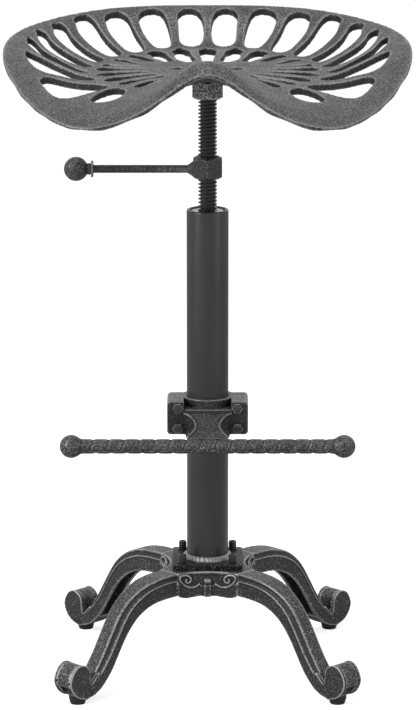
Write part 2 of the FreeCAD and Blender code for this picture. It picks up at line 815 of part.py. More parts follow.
def lever_rod():
    start = lever_start()
    bar = rod(lever_radius, Vector(start, 0, lever_height), Vector(start - lever_length, 0, lever_height))
    tenon = rod(
        lever_tenon_radius, Vector(start + lever_socket_depth, 0, lever_height),
        Vector(start, 0, lever_height),
    )
    return bar.fuse(tenon)


def lever_knob():
    end = lever_start() - lever_length
    centre = Vector(end + knob_socket_depth - knob_radius, 0, lever_height)
    body = ball(knob_radius, centre, Vector(1, 0, 0))
    collar_from = centre.x + knob_radius
    collar = Part.makeTorus(
        knob_collar_radius - knob_collar_width / 2, knob_collar_width / 2,
        Vector(collar_from + knob_collar_width / 2, 0, lever_height), Vector(1, 0, 0),
    )
    sleeve = rod(
        knob_collar_radius - knob_collar_width / 2,
        Vector(centre.x, 0, lever_height), Vector(collar_from + knob_collar_width, 0, lever_height),
    )
    body = body.fuse([collar, sleeve])
    hole = rod(
        lever_radius + press_clearance, Vector(end, 0, lever_height),
        Vector(collar_from + 2 * knob_collar_width, 0, lever_height),
    )
    return body.cut(hole)


def clamp_ears(near, far):
    """The pair of ears of one clamp half, between two distances in front of the split (-Y) or behind it."""
    ears = []
    for side in (-1, 1):
        x0, x1 = sorted((side * clamp_recess_half_width, side * clamp_half_width))
        ear = box(x0, x1, min(near, far), max(near, far), clamp_bottom, clamp_top)
        corners = []
        for edge in ear.Edges:
            along = abs(edge.Vertexes[0].Point.y - edge.Vertexes[1].Point.y) > tolerance
            outside = abs(abs(edge.Vertexes[0].Point.x) - clamp_half_width) < tolerance
            if along and outside:
                corners.append(edge)
        ears.append(ear.makeFillet(clamp_corner_radius, corners))
    return ears


def clamp_bore():
    return cylinder(tube_radius + slide_clearance, clamp_bottom - cut_past, clamp_top + cut_past)


def clamp_holes(start, end):
    holes = []
    for x, z in clamp_bolt_places():
        holes.append(rod(clamp_bolt_radius + hole_clearance, Vector(x, start, z), Vector(x, end, z)))
    return holes


def clamp_bolt_places():
    places = []
    for side in (-1, 1):
        for rise in (-clamp_bolt_rise, clamp_bolt_rise):
            places.append((side * clamp_bolt_offset, clamp_centre_height + rise))
    return places


def clamp_housing(side):
    """Half of the sleeve round the tube; side is -1 for the front half."""
    half = cylinder(clamp_housing_radius, clamp_bottom, clamp_top)
    reach = clamp_housing_radius + cut_past
    y0, y1 = sorted((side * clamp_gap / 2, side * reach))
    return half.common(box(-reach, reach, y0, y1, clamp_bottom, clamp_top))


def arm_section(y, half_width, low, high):
    return Part.makePolygon([
        Vector(-half_width, y, low), Vector(half_width, y, low),
        Vector(half_width, y, high), Vector(-half_width, y, high), Vector(-half_width, y, low),
    ])


def clamp_front():
    body = clamp_housing(-1)
    body = body.fuse(clamp_ears(-clamp_gap / 2, -clamp_front_depth))
    web_top = clamp_top - clamp_recess_depth
    body = body.fuse(box(
        -clamp_recess_half_width, clamp_recess_half_width, -clamp_front_depth, -clamp_gap / 2,
        clamp_bottom, web_top,
    ))
    root_low = clamp_bottom + arm_root_inset
    root_high = web_top - arm_root_inset
    sections = []
    for forward, half_width in arm_waist:
        along = (forward - arm_waist[0][0]) / (bar_forward - arm_waist[0][0])
        low = root_low + (bar_height - arm_tip_low - root_low) * along
        high = root_high + (bar_height + bar_radius - root_high) * along
        sections.append(arm_section(-forward, half_width, low, high))
    body = body.fuse(Part.makeLoft(sections, True, False))
    body = body.cut(clamp_bore())
    left_end, right_end = bar_ends()
    body = body.cut(rod(bar_radius + press_clearance, left_end, right_end))
    return body.cut(clamp_holes(-clamp_front_depth - cut_past, 0))


def clamp_rear():
    body = clamp_housing(1).fuse(clamp_ears(clamp_gap / 2, clamp_rear_depth))
    body = body.cut(clamp_bore())
    return body.cut(clamp_holes(0, clamp_rear_depth + cut_past))


def clamp_bolt(x, z):
    head_face = -clamp_front_depth
    head = hexagon(
        clamp_bolt_across_flats,
        Vector(x, head_face - clamp_bolt_head_height, z), Vector(x, head_face, z), 30,
    )
    end = clamp_rear_depth + clamp_nut_height + clamp_bolt_end
    return head.fuse(rod(clamp_bolt_radius, Vector(x, head_face, z), Vector(x, end, z)))


def clamp_nut(x, z):
    start = Vector(x, clamp_rear_depth, z)
    end = Vector(x, clamp_rear_depth + clamp_nut_height, z)
    nut = hexagon(clamp_bolt_across_flats, start, end, 30)
    return nut.cut(rod(clamp_bolt_radius + press_clearance, start, end))


def bar_ends():
    return [Vector(side * bar_half_length, -bar_forward, bar_height) for side in (-1, 1)]


def footrest_bar():
    left_end, right_end = bar_ends()
    return rod(bar_radius, left_end, right_end)


def footrest_ball(side):
    centre = Vector(side * bar_half_length, -bar_forward, bar_height)
    outward = Vector(side, 0, 0)
    body = ball(ball_radius, centre, outward)
    return body.cut(rod(bar_radius + press_clearance, centre - outward * 2 * ball_radius, centre))


def seat_nut():
    return chamfered_nut(
        seat_nut_across_flats, seat_nut_bottom, seat_nut_bottom + seat_nut_height,
        thread_radius + thread_clearance, 30,
    )


def seat_washer():
    top = spot_face_height + seat_washer_thickness
    return ring(seat_washer_radius, seat_screw_radius + hole_clearance, spot_face_height, top)


def seat_screw():
    head_bottom = spot_face_height + seat_washer_thickness
    head_top = head_bottom + seat_screw_head_height
    head = cylinder(seat_screw_head_radius, head_bottom, head_top)
    head = head.makeFillet(seat_screw_rounding, top_rim(head, head_top))
    head = head.cut(hexagon(
        seat_screw_socket_across_flats,
        Vector(0, 0, head_bottom + seat_screw_socket_wall), Vector(0, 0, head_top + cut_past),
    ))
    return head.fuse(cylinder(seat_screw_radius, spindle_top - seat_screw_depth, head_bottom))


def around(shape):
    """Four copies of a shape, one on each diagonal."""
    return Part.makeCompound([turned(shape, angle) for angle in diagonals])


def export(name, shape):
    shape.exportStep("parts/" + name + ".step")
    solids = shape.Solids
    volume = sum(solid.Volume for solid in solids)
    print(name, len(solids), "solid(s)", round(volume / 1000, 2), "cm3", "valid" if shape.isValid() else "INVALID")


os.makedirs("parts", exist_ok=True)

leg_shape = leg()
for name, angle in zip(("rear_right", "rear_left", "front_left", "front_right"), diagonals):
    export("leg_" + name, turned(leg_shape, angle))
    export("rubber_foot_" + name, turned(rubber_foot(leg_shape), angle))
export("foot_screws", around(foot_screw().translated(Vector(foot_reach, 0, 0))))
export("base_hub", hub())
export("leg_bolts", around(leg_bolt()))
export("leg_nuts", around(leg_nut()))
export("column_plate", column_plate())
export("column_screws", Part.makeCompound([plate_screw(x, y) for x, y in plate_screw_places()]))
export("column_washers", Part.makeCompound([plate_washer(x, y) for x, y in plate_screw_places()]))
export("weld_bead", weld_bead())
export("column_tube", ring(tube_radius, tube_bore_radius, plate_top, tube_top))
export("spindle_bush", spindle_bush())
export("spindle", spindle())
export("spindle_guide", spindle_guide())
export("spindle_end_washer", spindle_end_washer())
export("spindle_end_screw", spindle_end_screw())
export("lock_nut", lock_nut())
export("lever_rod", lever_rod())
export("lever_knob", lever_knob())
export("clamp_front", clamp_front())
export("clamp_rear", clamp_rear())
export("clamp_bolts", Part.makeCompound([clamp_bolt(x, z) for x, z in clamp_bolt_places()]))
export("clamp_nuts", Part.makeCompound([clamp_nut(x, z) for x, z in clamp_bolt_places()]))
export("footrest_bar", footrest_bar())
export("footrest_ball_left", footrest_ball(-1))
export("footrest_ball_right", footrest_ball(1))
export("seat_nut", seat_nut())
export("seat_pan", seat_pan())
export("seat_washer", seat_washer())
export("seat_screw", seat_screw())
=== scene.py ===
import math

import bmesh
import bpy
from mathutils import Matrix, Vector
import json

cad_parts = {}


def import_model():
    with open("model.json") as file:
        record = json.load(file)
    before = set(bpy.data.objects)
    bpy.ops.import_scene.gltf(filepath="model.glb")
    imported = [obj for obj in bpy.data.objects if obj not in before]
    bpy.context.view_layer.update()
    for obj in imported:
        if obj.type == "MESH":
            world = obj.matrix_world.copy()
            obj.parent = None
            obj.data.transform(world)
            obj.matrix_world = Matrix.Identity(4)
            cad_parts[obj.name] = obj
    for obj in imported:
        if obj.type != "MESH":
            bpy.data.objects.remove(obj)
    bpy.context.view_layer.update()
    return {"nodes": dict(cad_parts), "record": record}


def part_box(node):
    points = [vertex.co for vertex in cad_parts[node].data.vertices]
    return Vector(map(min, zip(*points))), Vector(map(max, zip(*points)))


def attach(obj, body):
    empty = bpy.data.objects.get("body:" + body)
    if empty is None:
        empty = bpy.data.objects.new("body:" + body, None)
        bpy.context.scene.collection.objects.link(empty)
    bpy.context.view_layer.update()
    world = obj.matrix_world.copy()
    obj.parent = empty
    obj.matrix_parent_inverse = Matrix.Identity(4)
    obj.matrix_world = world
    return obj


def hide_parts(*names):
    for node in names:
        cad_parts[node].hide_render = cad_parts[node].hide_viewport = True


# Tractor seat stool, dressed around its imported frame. Pieces are modelled in
# millimetres and brought to metres when they are finished. The seat's front
# and the footrest face -Y, and the lock lever points to -X.
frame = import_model()

MM = 0.001
AXIS_Z = Vector((0, 0, 1))
FULL_TURN = 2 * math.pi
CORNERS = (("rear_right", 45), ("rear_left", 135), ("front_left", 225), ("front_right", 315))
QUARTERS = (0, 90, 180, 270)


def node_box(name):
    """A node's lowest and highest corner, in millimetres."""
    low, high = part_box(name)
    return low / MM, high / MM


# Places and sizes read from the frame
hub_low, hub_high = node_box("base_hub")
plate_low, plate_high = node_box("column_plate")
tube_low, tube_high = node_box("column_tube")
weld_low, weld_high = node_box("weld_bead")
spindle_low, spindle_high = node_box("spindle")
bar_low, bar_high = node_box("footrest_bar")
ball_high = node_box("footrest_ball_right")[1]
clamp_low = node_box("clamp_front")[0]
bolt_low, bolt_high = node_box("clamp_bolts")
knob_low, knob_high = node_box("lever_knob")
rod_low, rod_high = node_box("lever_rod")


# Mesh helpers

def joined(*parts):
    """One mesh from several, which are freed."""
    whole = bmesh.new()
    for part in parts:
        mesh = bpy.data.meshes.new("part")
        part.to_mesh(mesh)
        part.free()
        whole.from_mesh(mesh)
        bpy.data.meshes.remove(mesh)
    return whole


def moved(part, matrix):
    """Moves a mesh and hands it back."""
    bmesh.ops.transform(part, matrix=matrix, verts=part.verts, space=Matrix.Identity(4))
    return part


def turned(part, degrees):
    """A copy of a mesh, turned about the column's axis."""
    return moved(part.copy(), Matrix.Rotation(math.radians(degrees), 4, "Z"))


def along(part, start, direction):
    """Moves a part made about Z so that Z runs along a direction from a start."""
    turn = Vector(direction).to_track_quat("Z", "Y").to_matrix().to_4x4()
    return moved(part, Matrix.Translation(Vector(start)) @ turn)


def steepness(edge):
    """The difference in height between an edge's ends."""
    return abs(edge.verts[0].co.z - edge.verts[1].co.z)


def bevelled(part, edges, offset, segments):
    """Rounds some of a mesh's edges."""
    bmesh.ops.bevel(
        part, geom=edges, offset=offset, segments=segments, profile=0.5, affect="EDGES", material=-1,
    )
    return part


def closed_up(part):
    """Fills a mesh's open ends."""
    bmesh.ops.holes_fill(part, edges=[edge for edge in part.edges if edge.is_boundary], sides=0)
    return part


def thickened(part, height):
    """Draws a flat part out along a vector."""
    made = bmesh.ops.extrude_face_region(part, geom=part.faces[:])
    tops = [item for item in made["geom"] if isinstance(item, bmesh.types.BMVert)]
    bmesh.ops.translate(part, vec=height, verts=tops)
    bmesh.ops.recalc_face_normals(part, faces=part.faces)
    return part


def next_end(part, face):
    """Extrudes an end face in place and hands the new end back."""
    made = bmesh.ops.extrude_face_region(part, geom=[face])
    return [item for item in made["geom"] if isinstance(item, bmesh.types.BMFace)][0]


def block(low, high, rounding=0.0):
    """A box between two corners, with all its edges rounded if a radius is given."""
    low, high = Vector(low), Vector(high)
    part = bmesh.new()
    bmesh.ops.create_cube(part, size=1.0)
    bmesh.ops.scale(part, vec=high - low, verts=part.verts)
    bmesh.ops.translate(part, vec=(low + high) / 2, verts=part.verts)
    if rounding:
        bevelled(part, part.edges[:], rounding, segments=2)
    return part


def plate_from(outline, height):
    """A flat outline of points drawn out along a vector."""
    part = bmesh.new()
    part.faces.new([part.verts.new(point) for point in outline])
    return thickened(part, height)


def from_point(steps, first, second):
    """A stretch of a profile whose steps are counted from one point."""
    return [(first + step, second + other) for step, other in steps]


def lathe(profile, steps, closed=False):
    """A profile of (radius, height) points spun about Z; closed joins its ends."""
    part = bmesh.new()
    points = [part.verts.new((radius, 0, height)) for radius, height in profile]
    pairs = list(zip(points, points[1:]))
    if closed:
        pairs.append((points[-1], points[0]))
    edges = [part.edges.new(pair) for pair in pairs]
    bmesh.ops.spin(
        part, geom=points + edges, cent=(0, 0, 0), axis=AXIS_Z, angle=FULL_TURN,
        steps=steps, use_merge=True, use_duplicate=False,
    )
    bmesh.ops.remove_doubles(part, verts=part.verts, dist=0.001)
    bmesh.ops.recalc_face_normals(part, faces=part.faces)
    return part


def tube_along(points, radius):
    """A round bead along a smooth line through points."""
    curve = bpy.data.curves.new("line", "CURVE")
    curve.dimensions = "3D"
    curve.bevel_depth = radius
    curve.bevel_resolution = 4
    curve.use_fill_caps = True
    spline = curve.splines.new("NURBS")
    spline.points.add(len(points) - 1)
    for point, place in zip(spline.points, points):
        point.co = (*place, 1.0)
    spline.order_u = 3
    spline.use_endpoint_u = True
    spline.resolution_u = 6
    holder = bpy.data.objects.new("line", curve)
    mesh = bpy.data.meshes.new_from_object(holder)
    bpy.data.objects.remove(holder)
    bpy.data.curves.remove(curve)
    part = bmesh.new()
    part.from_mesh(mesh)
    bpy.data.meshes.remove(mesh)
    return part


def smooth_line(points, per_span):
    """Points along a smooth line through the given ones."""
    ends = [points[0]] + list(points) + [points[-1]]
    line = []
    for k in range(1, len(ends) - 2):
        before, first, second, after = (Vector(point) for point in ends[k - 1:k + 3])
        for step in range(per_span):
            t = step / per_span
            line.append(
                first + 0.5 * t * (
                    (second - before) + t * (
                        (2 * before - 5 * first + 4 * second - after)
                        + t * (3 * first - before - 3 * second + after)
                    )
                )
            )
    line.append(Vector(points[-1]))
    return line


def drawn_through(rings):
    """A closed section extruded from ring to ring."""
    part = bmesh.new()
    face = part.faces.new([part.verts.new(place) for place in rings[0]])
    for before, ring in zip(rings, rings[1:]):
        face = next_end(part, face)
        for vert in list(face.verts):
            nearest = min(range(len(before)), key=lambda k: (vert.co - before[k]).length_squared)
            vert.co = ring[nearest]
    bmesh.ops.recalc_face_normals(part, faces=part.faces)
    return part


def cut_off(part, point, outward):
    """Cuts away what lies beyond a plane and closes the cut."""
    bmesh.ops.bisect_plane(
        part, geom=part.verts[:] + part.edges[:] + part.faces[:], dist=0.001,
        plane_co=point, plane_no=outward, clear_outer=True,
    )
    return closed_up(part)


def hex_head(across_flats, height, chamfer, turn):
    """A hexagon head about Z from height zero, both ends chamfered."""
    part = bmesh.new()
    bmesh.ops.create_circle(part, cap_ends=True, segments=6, radius=across_flats / math.sqrt(3))
    spin = Matrix.Rotation(math.radians(turn), 3, "Z")
    bmesh.ops.rotate(part, cent=(0, 0, 0), matrix=spin, verts=part.verts)
    thickened(part, (0, 0, height))
    level = [edge for edge in part.edges if steepness(edge) < 0.001]
    return bevelled(part, level, chamfer, segments=2)


def cad_copy(name):
    """A node's mesh in millimetres, its loose triangles merged."""
    part = bmesh.new()
    part.from_mesh(frame["nodes"][name].data)
    bmesh.ops.scale(part, vec=Vector((1, 1, 1)) / MM, verts=part.verts)
    bmesh.ops.remove_doubles(part, verts=part.verts, dist=0.002)
    return part


def linked(name, data):
    """A new object of the scene."""
    made = bpy.data.objects.new(name, data)
    bpy.context.scene.collection.objects.link(made)
    return made


def modified(mesh, *modifiers):
    """The mesh that a few modifiers, as (kind, settings), make of another, which is dropped."""
    holder = linked("rough", mesh)
    for kind, settings in modifiers:
        added = holder.modifiers.new(kind.lower(), kind)
        for key, value in settings.items():
            setattr(added, key, value)
    ready = holder.evaluated_get(bpy.context.evaluated_depsgraph_get())
    result = bpy.data.meshes.new_from_object(ready)
    bpy.data.objects.remove(holder)
    bpy.data.meshes.remove(mesh)
    return result


# How many triangles a casting's skin may keep
MOST_TRIANGLES = 180000


def cast(part, voxel, most=MOST_TRIANGLES):
    """Fuses overlapping shapes into one skin with the soft edges of a casting."""
    mesh = bpy.data.meshes.new("rough")
    part.to_mesh(mesh)
    part.free()
    result = modified(
        mesh, ("REMESH", {"mode": "VOXEL", "voxel_size": voxel, "adaptivity": 0.0}),
        ("SMOOTH", {"factor": 0.5, "iterations": 2}),
    )
    triangles = 2 * len(result.polygons)
    if triangles > most:
        result = modified(result, ("DECIMATE", {"ratio": most / triangles}))
    fused = bmesh.new()
    fused.from_mesh(result)
    bpy.data.meshes.remove(result)
    return fused


def piece(name, part, body, material, replaced, sharp):
    """Finishes a part as a named object of the scene, riding on a body."""
    bmesh.ops.scale(part, vec=Vector((MM, MM, MM)), verts=part.verts)
    mesh = bpy.data.meshes.new(name)
    part.to_mesh(mesh)
    part.free()
    for polygon in mesh.polygons:
        polygon.use_smooth = True
    if sharp:
        mesh.set_sharp_from_angle(angle=math.radians(sharp))
    mesh.materials.append(material)
    made = linked(name, mesh)
    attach(made, body)
    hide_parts(*replaced)


def casting(name, skin, body, material, *replaced):
    """Finishes a soft-edged cast skin, which has no sharp edges to mark."""
    piece(name, skin, body, material, replaced, sharp=0)


# Material helpers

def put(tree, kind, **settings):
    """A new shader node with its settings."""
    made = tree.nodes.new(kind)
    for key, value in settings.items():
        setattr(made, key, value)
    return made


def feed(tree, socket, value):
    """Links a socket, or sets its constant."""
    if isinstance(value, bpy.types.NodeSocket):
        tree.links.new(value, socket)
    else:
        socket.default_value = value


def calculated(tree, operation, first, second):
    """The result of one operation on two values."""
    made = put(tree, "ShaderNodeMath", operation=operation)
    feed(tree, made.inputs[0], first)
    feed(tree, made.inputs[1], second)
    return made.outputs[0]


def ramp(tree, value, low, high, to_low=0.0, to_high=1.0):
    """Maps a span smoothly onto another."""
    made = put(tree, "ShaderNodeMapRange", interpolation_type="SMOOTHSTEP")
    feed(tree, made.inputs["Value"], value)
    feed(tree, made.inputs["From Min"], low)
    feed(tree, made.inputs["From Max"], high)
    feed(tree, made.inputs["To Min"], to_low)
    feed(tree, made.inputs["To Max"], to_high)
    return made.outputs["Result"]


def object_place(tree):
    """Places in metres, the same on every piece."""
    return put(tree, "ShaderNodeTexCoord").outputs["Object"]


def noise(tree, place, scale, detail=2.0, roughness=0.5):
    """A cloudy value between 0 and 1, about 0.5 on average."""
    made = put(tree, "ShaderNodeTexNoise")
    feed(tree, made.inputs["Vector"], place)
    feed(tree, made.inputs["Scale"], scale)
    made.inputs["Detail"].default_value = detail
    made.inputs["Roughness"].default_value = roughness
    return made.outputs["Fac"]


def blend_colours(tree, factor, first, second):
    """The first colour where the factor is 0, the second where it is 1."""
    made = put(tree, "ShaderNodeMix", data_type="RGBA")
    feed(tree, made.inputs["Factor"], factor)
    feed(tree, made.inputs[6], first)
    feed(tree, made.inputs[7], second)
    return made.outputs[2]


def raise_surface(tree, shader, height, strength, distance):
    """Lets a height stand out of the surface by a distance in metres."""
    relief = put(tree, "ShaderNodeBump")
    relief.inputs["Strength"].default_value = strength
    relief.inputs["Distance"].default_value = distance
    feed(tree, relief.inputs["Height"], height)
    feed(tree, shader.inputs["Normal"], relief.outputs["Normal"])


def grey(value):
    return (value, value, value, 1.0)


def new_group(name, inputs, outputs):
    """An empty node group with number sockets, its inputs given as (label, value)."""
    tree = bpy.data.node_groups.new(name, "ShaderNodeTree")
    for label, value in inputs:
        socket = tree.interface.new_socket(name=label, in_out="INPUT", socket_type="NodeSocketFloat")
        socket.default_value = value
    for label in outputs:
        tree.interface.new_socket(name=label, in_out="OUTPUT", socket_type="NodeSocketFloat")
    return tree, put(tree, "NodeGroupInput"), put(tree, "NodeGroupOutput")


# Shader groups

# The size of the broad patches in a casting's skin, as a share of its grain's scale
PATCH_SHARE = 0.08


def sand_grain_group():
    """The fine pebbled skin of sand-cast iron, as a height."""
    tree, entry, leave = new_group("sand_grain", [("Scale", 900.0), ("Unevenness", 0.12)], ["Height"])
    scale = entry.outputs["Scale"]
    place = object_place(tree)
    fine = noise(tree, place, scale, roughness=0.6)
    patches = noise(tree, place, calculated(tree, "MULTIPLY", scale, PATCH_SHARE))
    broad = calculated(tree, "SUBTRACT", patches, 0.5)
    lifted = calculated(tree, "MULTIPLY", broad, entry.outputs["Unevenness"])
    tree.links.new(calculated(tree, "ADD", fine, lifted), leave.inputs["Height"])
    return tree


def dry_brush_group():
    """Silver rubbed over dark iron on edges and high spots; on what faces up, the extra silver is partly
    rub and partly painted light from above.
    """
    tree, entry, leave = new_group(
        "dry_brush",
        [("High Spots", 0.5), ("Level", 0.56), ("Softness", 0.12), ("Edges", 6.0), ("Upward", 0.05)],
        ["Mask", "Rim"],
    )
    level, softness = entry.outputs["Level"], entry.outputs["Softness"]
    shape = put(tree, "ShaderNodeNewGeometry")
    bend = calculated(tree, "SUBTRACT", shape.outputs["Pointiness"], 0.5)
    edge = calculated(tree, "MULTIPLY", bend, entry.outputs["Edges"])
    split = put(tree, "ShaderNodeSeparateXYZ")
    tree.links.new(shape.outputs["Normal"], split.inputs[0])
    facing_up = calculated(tree, "MAXIMUM", split.outputs["Z"], 0.0)
    # Faces that point up get more silver: partly rub, partly painted light from overhead.
    upward = calculated(tree, "MULTIPLY", facing_up, entry.outputs["Upward"])
    raised = calculated(tree, "ADD", entry.outputs["High Spots"], edge)
    total = calculated(tree, "ADD", raised, upward)
    low = calculated(tree, "SUBTRACT", level, softness)
    high = calculated(tree, "ADD", level, softness)
    tree.links.new(ramp(tree, total, low, high), leave.inputs["Mask"])
    tree.links.new(ramp(tree, edge, low=0.15, high=0.6), leave.inputs["Rim"])
    return tree


def worn_edge_group():
    """A mask of the sharp edges of a plain machined piece."""
    tree, entry, leave = new_group("worn_edge", [("Width", 0.0006), ("Scale", 300.0)], ["Mask"])
    shape = put(tree, "ShaderNodeNewGeometry")
    rounded = put(tree, "ShaderNodeBevel", samples=6)
    tree.links.new(entry.outputs["Width"], rounded.inputs["Radius"])
    dot = put(tree, "ShaderNodeVectorMath", operation="DOT_PRODUCT")
    tree.links.new(rounded.outputs["Normal"], dot.inputs[0])
    tree.links.new(shape.outputs["Normal"], dot.inputs[1])
    away = calculated(tree, "SUBTRACT", 1.0, dot.outputs["Value"])
    worn = ramp(tree, away, low=0.005, high=0.1)
    patches = noise(tree, object_place(tree), entry.outputs["Scale"])
    patchy = ramp(tree, patches, low=0.35, high=0.6, to_low=0.3)
    tree.links.new(calculated(tree, "MULTIPLY", worn, patchy), leave.inputs["Mask"])
    return tree


sand_grain = sand_grain_group()
dry_brush = dry_brush_group()
worn_edge = worn_edge_group()


def use_group(tree, group, **values):
    """Places a group with its own values, named as its inputs are."""
    made = put(tree, "ShaderNodeGroup", node_tree=group)
    for key, value in values.items():
        feed(tree, made.inputs[key.replace("_", " ").title()], value)
    return made


# Materials

IRON_ROUGHNESS = 0.5
RUBBED_ROUGHNESS = 0.34
PAINT_GRAIN = 900.0
PAINT_RELIEF = 0.00003
PAINT_CLOUDS = 60.0
PAINT_DARKEST = 0.75
PAINT_LIGHTEST = 1.25
PAINT_SHEEN = 0.06
PLAIN_DARKEST = 0.85
PLAIN_SHEEN = 0.08


def new_material(name):
    """A material with its node tree and its Principled shader."""
    material = bpy.data.materials.new(name)
    material.use_nodes = True
    tree = material.node_tree
    return material, tree, tree.nodes["Principled BSDF"]


def cast_iron(
    name, dark, light, rim, level, edges, upward,
    softness=0.15, scale=650.0, bump=0.0003, metallic=0.3, gloss=0.5,
):
    """Dark sand-cast iron with silver rubbed over its high spots and edges."""
    material, tree, shader = new_material(name)
    grain = use_group(tree, sand_grain, scale=scale).outputs["Height"]
    rub = use_group(
        tree, dry_brush, high_spots=grain, level=level, softness=softness, edges=edges, upward=upward,
    )
    mask = rub.outputs["Mask"]
    rubbed = blend_colours(tree, mask, grey(dark), grey(light))
    feed(tree, shader.inputs["Base Color"], blend_colours(tree, rub.outputs["Rim"], rubbed, grey(rim)))
    roughness = ramp(tree, mask, 0.0, 1.0, IRON_ROUGHNESS, RUBBED_ROUGHNESS)
    feed(tree, shader.inputs["Roughness"], roughness)
    shader.inputs["Metallic"].default_value = metallic
    shader.inputs["Specular IOR Level"].default_value = gloss
    raise_surface(tree, shader, grain, strength=0.75, distance=bump)
    return material


def painted_steel(name, colour, edge_colour, roughness, streak=0.15, rub=0.0006):
    """Satin paint or blacking, faintly uneven, rubbed through at its sharp edges."""
    material, tree, shader = new_material(name)
    place = object_place(tree)
    grain = noise(tree, place, PAINT_GRAIN, detail=3.0, roughness=0.6)
    stretched = put(tree, "ShaderNodeMapping")
    stretched.inputs["Scale"].default_value = (1.0, 1.0, streak)
    tree.links.new(place, stretched.inputs["Vector"])
    cloud = noise(tree, stretched.outputs["Vector"], PAINT_CLOUDS, detail=3.0, roughness=0.55)
    coat = blend_colours(tree, cloud, grey(colour * PAINT_DARKEST), grey(colour * PAINT_LIGHTEST))
    worn = use_group(tree, worn_edge, width=rub).outputs["Mask"]
    feed(tree, shader.inputs["Base Color"], blend_colours(tree, worn, coat, grey(edge_colour)))
    uneven = ramp(tree, cloud, 0.3, 0.7, roughness - PAINT_SHEEN, roughness + PAINT_SHEEN)
    feed(tree, shader.inputs["Roughness"], uneven)
    raise_surface(tree, shader, grain, strength=0.6, distance=PAINT_RELIEF)
    return material


def plain_finish(name, colour, roughness, metallic, scale, bump):
    """A plain metal, plastic or rubber with its fine surface texture."""
    material, tree, shader = new_material(name)
    grain = noise(tree, object_place(tree), scale, detail=4.0, roughness=0.6)
    dark = tuple(channel * PLAIN_DARKEST for channel in colour)
    blend = blend_colours(tree, grain, (*dark, 1.0), (*colour, 1.0))
    feed(tree, shader.inputs["Base Color"], blend)
    uneven = ramp(tree, grain, 0.3, 0.7, roughness - PLAIN_SHEEN, roughness + PLAIN_SHEEN)
    feed(tree, shader.inputs["Roughness"], uneven)
    shader.inputs["Metallic"].default_value = metallic
    raise_surface(tree, shader, grain, strength=0.5, distance=bump)
    return material


# Cast finishes: dark, rubbed and rim colour, then how much is rubbed, and how much lighter what faces up is
# made, partly rub and partly painted light from above
seat_iron = cast_iron("seat_iron", 0.016, 0.16, 0.42, 0.71, 6.5, 0.16, softness=0.12)
# The nut's iron is lighter than the rest: more silver rub, and partly painted light standing in for the
# light on its left face.
nut_rub_and_light = cast_iron("nut_rub_and_light", 0.04, 0.42, 0.4, 0.55, 5.0, 0.05, softness=0.11, scale=560.0)
base_iron = cast_iron("base_iron", 0.018, 0.3, 0.5, 0.65, 7.5, 0.05, softness=0.14)
clamp_iron = cast_iron("clamp_iron", 0.014, 0.2, 0.32, 0.66, 6.0, 0.12)
# The plate's near-black colour is partly its own black finish and partly painted shade, under the tube and
# along its front edge.
plate_black_and_shade = cast_iron("plate_black_and_shade", 0.003, 0.12, 0.3, 0.74, 3.0, 0.08, metallic=0.0, gloss=0.1)
bar_iron = cast_iron("bar_iron", 0.02, 0.2, 0.3, 0.62, 6.0, 0.04)
fitting_iron = cast_iron("fitting_iron", 0.028, 0.17, 0.3, 0.66, 4.0, 0.04, bump=0.00015)
weld_metal = cast_iron("weld_metal", 0.02, 0.3, 0.5, 0.6, 5.0, 0.04)

# Painted and blackened finishes: colour, colour of the worn edges, roughness
tube_paint = painted_steel("tube_paint", 0.019, 0.2, 0.34)
black_steel = painted_steel("black_steel", 0.008, 0.08, 0.34, streak=1.0)
bolt_steel = painted_steel("bolt_steel", 0.035, 0.6, 0.36, streak=1.0, rub=0.0012)

# Plain finishes: colour, roughness, metallic, scale and height of the texture
bright_steel = plain_finish("bright_steel", (0.42, 0.42, 0.43), 0.34, 1.0, 900.0, 0.00003)
nylon = plain_finish("nylon", (0.72, 0.71, 0.67), 0.5, 0.0, 400.0, 0.00003)
rubber = plain_finish("rubber", (0.016, 0.016, 0.016), 0.72, 0.0, 700.0, 0.00008)

SLOT_MATERIALS = {
    "cast_iron_worn": fitting_iron,
    "tube_satin": tube_paint,
    "black_steel": black_steel,
    "weld_metal": weld_metal,
    "bright_steel": bright_steel,
    "nylon": nylon,
    "rubber": rubber,
}

# Each node gets its slot's finish, and keeps it where no piece takes its place
for part_record in frame["record"]["subparts"]:
    node_object = frame["nodes"][part_record["node"]]
    finish = SLOT_MATERIALS[part_record["material_slot"]]
    if not node_object.material_slots:
        node_object.data.materials.append(finish)
    for material_slot in node_object.material_slots:
        material_slot.material = finish


# Seat

SEAT_VOXEL = 1.15
SEAT_TRIANGLES = 192000


def seat():
    """The pierced seat pan, one casting."""
    shell = cast(cad_copy("seat_pan"), SEAT_VOXEL, SEAT_TRIANGLES)
    casting("seat_casting", shell, "seat", seat_iron, "seat_pan")


# Base

BASE_VOXEL = 0.75

# Along a leg's crown: reach, height, half the crown's width, and how far down
# its side the bead line lies.
LEG_CROWN = (
    (58.5, 116.9, 12.0, 7.8), (82.0, 116.4, 12.0, 7.6), (102.8, 112.7, 11.2, 7.4), (120.7, 104.8, 9.6, 7.2),
    (134.5, 94.2, 8.9, 7.0), (145.3, 81.1, 8.8, 7.0), (155.8, 64.2, 8.8, 7.0), (165.5, 48.5, 8.8, 6.8),
    (175.6, 34.3, 8.8, 5.6), (184.6, 22.0, 8.6, 3.6), (192.0, 16.0, 8.2, 2.6),
)
# Along its underside: reach and height
LEG_SOLE = (
    (58.5, 91.6), (78.0, 91.5), (94.0, 89.8), (107.2, 85.5), (118.4, 79.1),
    (128.1, 70.4), (137.2, 59.0), (146.6, 44.4), (156.6, 29.0), (168.6, 16.5), (182.0, 8.6),
)
LEG_HALF_WIDTH = 13.3
LEG_SKIN = 6.0

